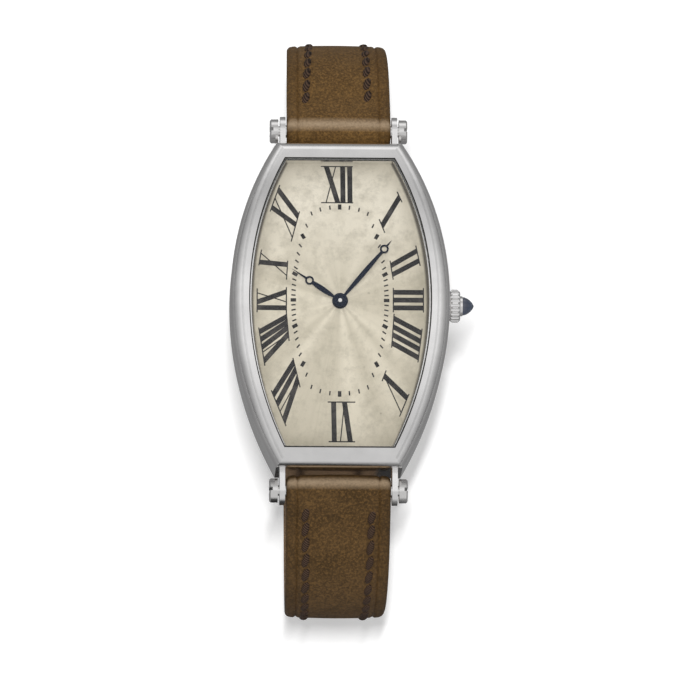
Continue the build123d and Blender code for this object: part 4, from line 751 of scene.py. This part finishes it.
# %% Stations along the strap
bar_reach = 21.95 * mm
bar_height = 39.2 * mm
fall = radians(20.0)
straight_length = 5.1 * mm
shoulder_radius = 11.0 * mm
thick_half = 1.6 * mm
thin_half = 1.1 * mm
roll_radius = 1.95 * mm
lining_thickness = 0.5 * mm
short_curl_radius = 12.5 * mm
short_curl_angle = radians(106.0)
short_end_length = 15.0 * mm
tail_end = 30.0 * mm
tip_length = 7.0 * mm
tip_half_width = 1.2 * mm
tip_steps = 12
buckle_bar_beyond = 1.15 * mm
buckle_roll_radius = 1.3 * mm

bar = (bar_reach, bar_height)
shoulder_start = step(bar, heading(-fall), straight_length)
shoulder_centre = step(shoulder_start, (sin(fall), cos(fall)), -shoulder_radius)
outermost = shoulder_centre[0] + shoulder_radius
tail_curl_radius = shoulder_centre[1] - thin_half


def arc_stations(centre, radius, start, stop, count):
    """Points and outward directions along an arc, without its first point."""
    outs = [heading(start + (stop - start) * index / count) for index in range(1, count + 1)]
    return [(step(centre, out, radius), out) for out in outs]


def line_stations(start, stop, out, count):
    """Points along a straight run, without its first point."""
    run = (stop[0] - start[0], stop[1] - start[1])
    return [(step(start, run, index / count), out) for index in range(1, count + 1)]


def strap_line(upper):
    """All stations of one strap half, from its bar to its end: (point, outward direction)."""
    first_out = (sin(fall), cos(fall))
    stations = [(bar, first_out)] + line_stations(bar, shoulder_start, first_out, 8)
    stations += arc_stations(shoulder_centre, shoulder_radius, pi / 2 - fall, 0, 14)
    if upper:
        centre = (outermost - short_curl_radius, shoulder_centre[1])
        stations += arc_stations(centre, short_curl_radius, 0, -short_curl_angle, 22)
        start, out = stations[-1]
        stop = step(start, heading(-short_curl_angle - pi / 2), short_end_length)
        stations += line_stations(start, stop, out, 12)
    else:
        centre = (outermost - tail_curl_radius, shoulder_centre[1])
        tip_start = tip_length - tail_end
        stations += arc_stations(centre, tail_curl_radius, 0, -pi / 2, 30)
        stations += line_stations(stations[-1][0], (tip_start, thin_half), (0, -1), 24)
        for index in range(1, tip_steps + 1):
            along = tip_length * sin(pi / 2 * index / tip_steps)
            stations.append(((tip_start - along, thin_half), (0, -1)))
    return stations


def run_length(stations):
    """The distance along the strap at each station."""
    lengths = [0.0]
    for before, after in zip(stations, stations[1:]):
        lengths.append(lengths[-1] + dist(before[0], after[0]))
    return lengths


short_end, short_end_out = strap_line(True)[-1]
short_end_run = (short_end_out[1], -short_end_out[0])
buckle_bar = step(short_end, short_end_run, buckle_bar_beyond)
print("tail half", round(run_length(strap_line(False))[-1] / mm, 1), "mm long")

# %% [markdown]
# ## One strap half
# The leather is a closed skin round its side outline. A grid, as many points long as the outline
# and 27 columns wide, is wrapped round that outline: each row of the grid lands on one point
# of it. Towards the edges the columns sink inwards, which rounds the leather, and a few of them
# dip to make the tooled crease line. The open ends of the sleeve are then filled and painted.

# %% Wrap a grid round the strap's outline
# how far a column sinks, in millimetres, by its place between the middle (0) and the edge (1)
edge_sink = {
    1.0: 0.66, 0.99: 0.47, 0.965: 0.3, 0.93: 0.19, 0.88: 0.13, 0.83: 0.11, 0.805: 0.2,
    0.785: 0.3, 0.765: 0.19, 0.73: 0.09, 0.6: 0.06, 0.4: 0.03, 0.2: 0.01, 0.0: 0.0,
}
column_shares = [-share for share in edge_sink if share] + sorted(edge_sink)
wide_half = 6.25 * mm
narrow_half = 5.5 * mm
tip_bow = 2.2
roll_steps = 18
deep_roll_steps = 11
roll_gap = 0.6
shallow_sink = 0.3
lining_start = roll_radius - 0.2 * mm
tip_wall = 0.05 * mm


def half_width_at(point, upper):
    """Half the strap's width at a place on its side outline."""
    lowest = (shoulder_centre[1] - short_curl_radius - thin_half) if upper else 0.0
    share = min(1.0, max(0.0, (point[1] - lowest) / (bar_height - lowest)))
    half = narrow_half + (wide_half - narrow_half) * share
    into_tip = (tip_length - tail_end - point[0]) / tip_length
    if not upper and into_tip > 0 and point[1] < 3 * thin_half:
        bow = sqrt(max(0.0, 1 - min(1.0, into_tip) ** tip_bow))
        half = tip_half_width + (half - tip_half_width) * bow
    return half


def wrapped_skin(name, outline, upper):
    """A closed skin from an outline of (point, outward direction, how much its columns sink)."""
    rows = len(outline)
    columns = len(column_shares) - 1
    skin = add(bpy.ops.mesh.primitive_grid_add, name, x_subdivisions=columns, y_subdivisions=rows, size=2)
    side = 1 if upper else -1
    for vertex in skin.data.vertices:
        column = round((vertex.co.x + 1) / 2 * columns)
        row = round((vertex.co.y + 1) / 2 * rows) % rows
        point, out, sink_share = outline[row]
        share = column_shares[column]
        place = step(point, out, -edge_sink[abs(share)] * mm * sink_share)
        vertex.co = Vector((share * half_width_at(point, upper), side * place[0], place[1]))
    close_up(skin)
    bpy.ops.object.mode_set(mode="EDIT")
    bpy.ops.mesh.select_all(action="DESELECT")
    bpy.ops.mesh.select_non_manifold(use_wire=False, use_multi_face=False, use_non_contiguous=False,
                                     use_verts=False)
    bpy.ops.mesh.edge_face_add()
    bpy.ops.object.mode_set(mode="OBJECT")
    return skin


def paint_sides(skin, face_finish, side_finish):
    """Give the long side walls and the tail's tip the edge paint."""
    skin.data.materials.append(face_finish)
    skin.data.materials.append(side_finish)
    for face in skin.data.polygons:
        corners = [skin.data.vertices[index].co for index in face.vertices]
        at_tip = all(corner.y > tail_end - tip_wall and corner.z < 2 * thick_half for corner in corners)
        face.material_index = 1 if at_tip or len(corners) > 4 else 0
    modify(skin, "TRIANGULATE", min_vertices=5, ngon_method="BEAUTY")


def top_half_thickness(distance):
    """Half the leather's thickness on its outer side, at a distance from the bar."""
    share = min(1.0, distance / straight_length)
    eased = share * share * (3 - 2 * share)
    return roll_radius + (thin_half - roll_radius) * eased


def under_half_thickness(distance):
    """Half the strap's thickness on its inner side, lining included, at a distance from the bar."""
    return thick_half + (thin_half - thick_half) * min(1.0, distance / straight_length)


def leather_outline(upper):
    """The side outline of the outer leather: its face, its roll on the bar and its underside."""
    stations = strap_line(upper)
    measured = list(zip(stations, run_length(stations)))
    outline = []
    for (point, out), distance in reversed(measured):
        on_floor = not upper and point[1] < 2 * thin_half
        outline.append((step(point, out, top_half_thickness(distance)), out, 0.0 if on_floor else 1.0))
    roll = arc_stations(bar, roll_radius, pi / 2 - fall, 2 * pi - fall - roll_gap, roll_steps)
    for index, (point, out) in enumerate(roll):
        outline.append((point, out, 1.0 if index < deep_roll_steps else shallow_sink))
    for (point, out), distance in measured:
        if distance > roll_radius:
            outline.append((step(point, out, lining_thickness - under_half_thickness(distance)), out, 0.0))
    if upper:
        outline.append((step(short_end, short_end_out, -thin_half), short_end_out, 0.0))
        inward = atan2(-short_end_out[1], -short_end_out[0])
        buckle_roll = arc_stations(buckle_bar, buckle_roll_radius, inward, inward + pi, 17)[:-1]
        outline += [(point, short_end_out, 0.0) for point, _ in buckle_roll]
    return outline


def lining_outline(upper):
    """The side outline of the lining, a thin sheet under the outer leather."""
    stations = strap_line(upper)
    top, bottom = [], []
    for (point, out), distance in zip(stations, run_length(stations)):
        if distance > lining_start:
            half = under_half_thickness(distance)
            top.append((step(point, out, lining_thickness - half), out, 0.0))
            bottom.append((step(point, out, -half), (-out[0], -out[1]), 0.0))
    return top[::-1] + bottom


strap_pieces = {}
for upper, half_name in ((True, "upper"), (False, "lower")):
    face = wrapped_skin(f"strap_{half_name}_leather", leather_outline(upper), upper)
    inside = wrapped_skin(f"strap_{half_name}_inside", lining_outline(upper), upper)
    strap_pieces[half_name] = (face, inside)

# %% [markdown]
# ## Holes, slot and finish
# The tail gets seven round buckle holes and the buckle's roll a slot for the tongue. A Boolean
# modifier cuts them with simple bodies, which are then thrown away. The strap's sides are
# painted dark, as a saddler seals a cut edge.

# %% Cut the holes and finish the leather
hole_radius = 0.8 * mm
hole_count = 7
first_hole = 8.8 * mm
hole_pitch = 4.6 * mm
slot_half_width = 0.9 * mm
cutter_depth = 6 * mm


def hole_cutter(index):
    """A round body that cuts one of the tail's holes."""
    place = (0, tail_end - first_hole - index * hole_pitch, thin_half)
    made = add(bpy.ops.mesh.primitive_cylinder_add, "hole", vertices=24, radius=hole_radius,
               depth=cutter_depth, location=place)
    settle(made)
    return made


tail_holes = join([hole_cutter(index) for index in range(hole_count)], "tail_holes")
tongue_slot = add(bpy.ops.mesh.primitive_cube_add, "tongue_slot", size=1, location=(0, *buckle_bar),
                  rotation=(atan2(short_end_run[1], short_end_run[0]), 0, 0),
                  scale=(2 * slot_half_width, 2 * buckle_roll_radius, cutter_depth))
settle(tongue_slot)
cutters = {"upper": tongue_slot, "lower": tail_holes}

for half_name, pair in strap_pieces.items():
    for piece, face_finish in zip(pair, (suede if half_name == "upper" else shaded_suede, lining_leather)):
        paint_sides(piece, face_finish, edge_paint)
        modify(piece, "BOOLEAN", operation="DIFFERENCE", object=cutters[half_name], solver="EXACT")
        smooth(piece, 40)
        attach(piece, f"strap_{half_name}")
    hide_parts(f"strap_{half_name}")
    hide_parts(f"strap_{half_name}_lining")
    print(half_name, [len(piece.data.polygons) for piece in pair], "faces")
for cutter in cutters.values():
    bpy.data.objects.remove(cutter)

# %% [markdown]
# ## Stitches
# Thick waxed thread runs in one row along each edge. Every stitch is a small, stretched ball that
# lies at a slant, half sunk in the leather. The row follows the strap's stations: the
# distance along the strap gives the point, its outward direction and so the stitch's turn.

# %% Stitch rows
stitch_pitch = 1.85 * mm
stitch_half_length = 1.03 * mm
stitch_half_width = 0.48 * mm
stitch_half_height = 0.36 * mm
stitch_slant = radians(14.0)
second_row_lag = 0.3 * mm
row_settles = 20.0 * mm
stitch_sunk = 0.12 * mm
last_stitch_gap = 1.5 * mm
tip_stitch_gap = 1.0 * mm

# x of the left row near the case and further out, the same of the right row, and the first stitch
stitch_rows = {
    "upper": ((-4.15 * mm, -3.06 * mm), (3.58 * mm, 3.30 * mm), 4.0 * mm),
    "lower": ((-3.95 * mm, -3.67 * mm), (4.08 * mm, 3.50 * mm), 2.6 * mm),
}


def place_on_line(stations, lengths, distance):
    """The point and outward direction at a distance along the strap."""
    for index in range(len(lengths) - 1):
        if lengths[index + 1] >= distance:
            break
    share = (distance - lengths[index]) / (lengths[index + 1] - lengths[index])
    (point, out), (next_point, next_out) = stations[index], stations[index + 1]
    mixed = [a + (b - a) * share for a, b in zip(point + out, next_point + next_out)]
    size = hypot(mixed[2], mixed[3])
    return (mixed[0], mixed[1]), (mixed[2] / size, mixed[3] / size)


def stitch_rise(upper, inner, height, distance):
    """How far a stitch lies from the strap's line."""
    if inner:
        return under_half_thickness(distance)
    if not upper and height < 2 * thin_half:
        return thin_half - stitch_half_height
    return top_half_thickness(distance) - stitch_sunk


def stitch_mesh(half_name, face_name):
    """All stitches of one strap half, on its face or on its lining."""
    upper = half_name == "upper"
    inner = face_name == "inside"
    stations = strap_line(upper)
    lengths = run_length(stations)
    left, right, first = stitch_rows[half_name]
    side = 1 if upper else -1
    last = lengths[-1] - (last_stitch_gap if upper else tip_length + tip_stitch_gap)
    piece = open_blank(f"stitches_{half_name}_{face_name}")
    for row, (near, far) in enumerate((left, right)):
        distance = first + row * second_row_lag
        while distance < last:
            point, out = place_on_line(stations, lengths, distance)
            rise = stitch_rise(upper, inner, point[1], distance)
            if inner:
                out = (-out[0], -out[1])
            y, z = step(point, out, rise)
            x = near + (far - near) * min(1.0, distance / row_settles)
            outward = Vector((0, side * out[0], out[1]))
            across = Vector((1, 0, 0))
            turned = outward.cross(across) * cos(stitch_slant) + across * sin(stitch_slant)
            axes = Matrix((turned.cross(outward), turned, outward)).transposed()
            bpy.ops.mesh.primitive_uv_sphere_add(
                segments=8, ring_count=6, radius=1, location=(x, side * y, z), rotation=axes.to_euler(),
                scale=(stitch_half_width, stitch_half_length, stitch_half_height))
            distance += stitch_pitch
    bpy.ops.object.mode_set(mode="OBJECT")
    piece.data.materials.append(thread)
    smooth(piece, 80)
    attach(piece, f"strap_{half_name}")
    return piece


for half_name in ("upper", "lower"):
    for face_name in ("outside", "inside"):
        piece = stitch_mesh(half_name, face_name)
        print(piece.name, len(piece.data.polygons), "faces")

# %% [markdown]
# ## Keepers
# Two leather loops hold the tail. Each starts as a torus, whose ring is then laid round the
# strap: the place round the ring gives a point of a rounded rectangle, and the place round the
# tube gives a point of the band's own flat, soft-edged section.

# %% Fixed and free keeper
keeper_half_width = 1.6 * mm
keeper_thickness = 0.75 * mm
keeper_inner_half = 5.82 * mm
keeper_low = -1.14 * mm
keeper_high = 3.6 * mm
keeper_corner = 0.75 * mm
section_softness = 0.35
keepers = {"fixed_keeper": (2.9 * mm, "strap_upper"), "free_keeper": (12.2 * mm, "free_keeper")}


def rounded_rectangle(turn, half_width, half_height, corner):
    """A point of a rounded rectangle's outline, and its outward direction, at a turn from 0 to 1."""
    sides = (2 * (half_height - corner), 2 * (half_width - corner))
    quarter = corner * pi / 2
    left = (turn % 1.0) * (2 * (sides[0] + sides[1]) + 4 * quarter)
    corners = ((half_width - corner, half_height - corner), (corner - half_width, half_height - corner),
               (corner - half_width, corner - half_height), (half_width - corner, corner - half_height))
    for index in range(4):
        out = heading(pi / 2 * index)
        length = sides[index % 2]
        if left <= length:
            start = step(corners[index - 1], out, corner)
            return step(start, (-out[1], out[0]), left), out
        left -= length
        if left <= quarter or index == 3:
            out = heading(pi / 2 * index + min(left, quarter) / corner)
            return step(corners[index], out, corner), out
        left -= quarter


def soften(share):
    """Push a sine or cosine towards 1 or -1, so that a round section turns nearly square."""
    return copysign(abs(share) ** section_softness, share)


def make_keeper(name, from_end):
    """One leather loop round the buckle end of the strap."""
    loop = add(bpy.ops.mesh.primitive_torus_add, f"{name}_leather", major_segments=120, minor_segments=20,
               major_radius=1.0, minor_radius=0.25)
    centre = step(short_end, short_end_run, -from_end)
    half_height = (keeper_high - keeper_low + keeper_thickness) / 2
    for vertex in loop.data.vertices:
        ring_turn = atan2(vertex.co.y, vertex.co.x) / (2 * pi) % 1.0
        tube_angle = atan2(vertex.co.z, hypot(vertex.co.x, vertex.co.y) - 1.0)
        outside = soften(cos(tube_angle)) * keeper_thickness / 2
        along = soften(sin(tube_angle)) * keeper_half_width
        on_ring, out = rounded_rectangle(ring_turn, keeper_inner_half + keeper_thickness / 2, half_height,
                                         keeper_corner / 2)
        x, height = step(on_ring, out, outside)
        height += (keeper_low + keeper_high) / 2
        vertex.co = Vector((x, *step(step(centre, short_end_out, height), short_end_run, along)))
    close_up(loop, 0.001 * mm)
    loop.data.materials.append(suede)
    smooth(loop, 50)
    return loop


for name, (from_end, body) in keepers.items():
    keeper = make_keeper(name, from_end)
    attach(keeper, body)
    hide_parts(name)
    print(keeper.name, len(keeper.data.polygons), "faces")

# %% [markdown]
# ## Floor and light
# The photograph's ground is pure white with one soft shadow below the strap. The floor is a plain
# diffuse plane. For the camera it adds a little light of its own, so that its lit part reaches
# white while the shadow stays. The world is white to the camera and in reflections, and
# dimmer as a light. One small lamp overhead casts the shadow, and polished metal doesn't mirror it.

# %% Floor
floor_glow = 0.28
world_light = 0.45
floor = add(bpy.ops.mesh.primitive_plane_add, "floor", size=4.0)
net = new_finish("floor_paint")
net.shade({
    "Base Color": (0.8, 0.8, 0.8),
    "Roughness": 1.0,
    "Specular IOR Level": 0.0,
    "Emission Color": (1, 1, 1),
    "Emission Strength": net.times(net.seen(), floor_glow),
})
floor.data.materials.append(net.owner)

# %% World
world = bpy.data.worlds.new("white_world")
bpy.context.scene.world = world
net = Network(world, "Background")
net.shade({"Color": (1, 1, 1), "Strength": net.ramp(net.seen(), 0.0, 1.0, world_light, 1.0)})
bpy.context.scene.view_settings.view_transform = "Standard"

# %% Key lamp
lamp_place = Vector((-0.04, -0.12, 1.2))
lamp_data = bpy.data.lights.new("key_lamp", "AREA")
lamp_data.shape = "RECTANGLE"
lamp_data.size = 0.03
lamp_data.size_y = 0.14
lamp_data.energy = 9.6
lamp = bpy.data.objects.new("key_lamp", lamp_data)
bpy.context.scene.collection.objects.link(lamp)
lamp.location = lamp_place
lamp.rotation_euler = (aim - lamp_place).to_track_quat("-Z", "Y").to_euler()
lamp.visible_glossy = False

# %% [markdown]
# ## A tent for the metal
# Polished metal looks like what stands round it. A photographer hangs a translucent tent over a
# watch: bright overhead and behind, greyer to the sides, in front and towards the table. The tent
# here is a ball that only reflections see, and its brightness depends on where each point lies.
# So the four rails of the bezel, which face four ways, differ at their mitred corners.
# A dim card on the table does the same for what faces down, and beyond the lower strap it is darkened by a
# painted shadow of the strap.

# %% Tent
# ramps read places on a ball of one metre, and give shares of full brightness


def shine_in_mirrors(piece, net, brightness):
    """Give a piece a light of its own that only reflections see."""
    net.shade({
        "Base Color": (0, 0, 0),
        "Specular IOR Level": 0.0,
        "Emission Color": (1, 1, 1),
        "Emission Strength": brightness,
    })
    piece.data.materials.append(net.owner)
    for ray in ("visible_camera", "visible_diffuse", "visible_transmission", "visible_shadow"):
        setattr(piece, ray, False)


tent = add(bpy.ops.mesh.primitive_uv_sphere_add, "tent", segments=48, ring_count=24, radius=1.0)
smooth(tent, 80)
net = new_finish("tent_cloth")
x, y, z = net.axes(net.place())
aside = net.size(x)
sideways = net.ramp(aside, 0.40, 0.90, 0.93, 0.42)
streak = net.plus(net.ramp(aside, 0.10, 0.18, 1.0, 0.75), net.ramp(aside, 0.26, 0.36, 0.0, 0.25))
toward_six = net.ramp(y, -0.10, -0.28, 1.0, 0.72)
toward_twelve = net.plus(net.ramp(y, 0.25, 0.62, 1.0, 0.58), net.ramp(y, 0.68, 0.90, 0.0, 0.55))
low_down = net.ramp(z, 0.0, 0.30, 0.5, 1.0)
cloth = net.times(net.times(sideways, low_down), net.times(toward_six, toward_twelve))
shine_in_mirrors(tent, net, net.times(cloth, streak))

# %% Table card
table_card = add(bpy.ops.mesh.primitive_circle_add, "table_card", vertices=64, radius=0.9,
                 fill_type="NGON", location=(0, 0, 0.5 * mm))
net = new_finish("table_paint")
place = net.place()
x, y, _ = net.axes(place)
reach = net.node("ShaderNodeVectorMath", {0: place}, operation="LENGTH").outputs["Value"]
# painted shadow: the card is dimmed where the lower strap would shade the table
outside_painted_shadow_across = net.ramp(net.size(x), 8 * mm, 12 * mm, 0.1, 1.0)
outside_painted_shadow_along = net.ramp(y, -24 * mm, -20 * mm, 0.1, 1.0)
table_light = net.ramp(reach, 0.03, 0.25, 0.24, 0.34)
shine_in_mirrors(table_card, net, net.times(table_light, net.math("MAXIMUM", outside_painted_shadow_across, outside_painted_shadow_along)))
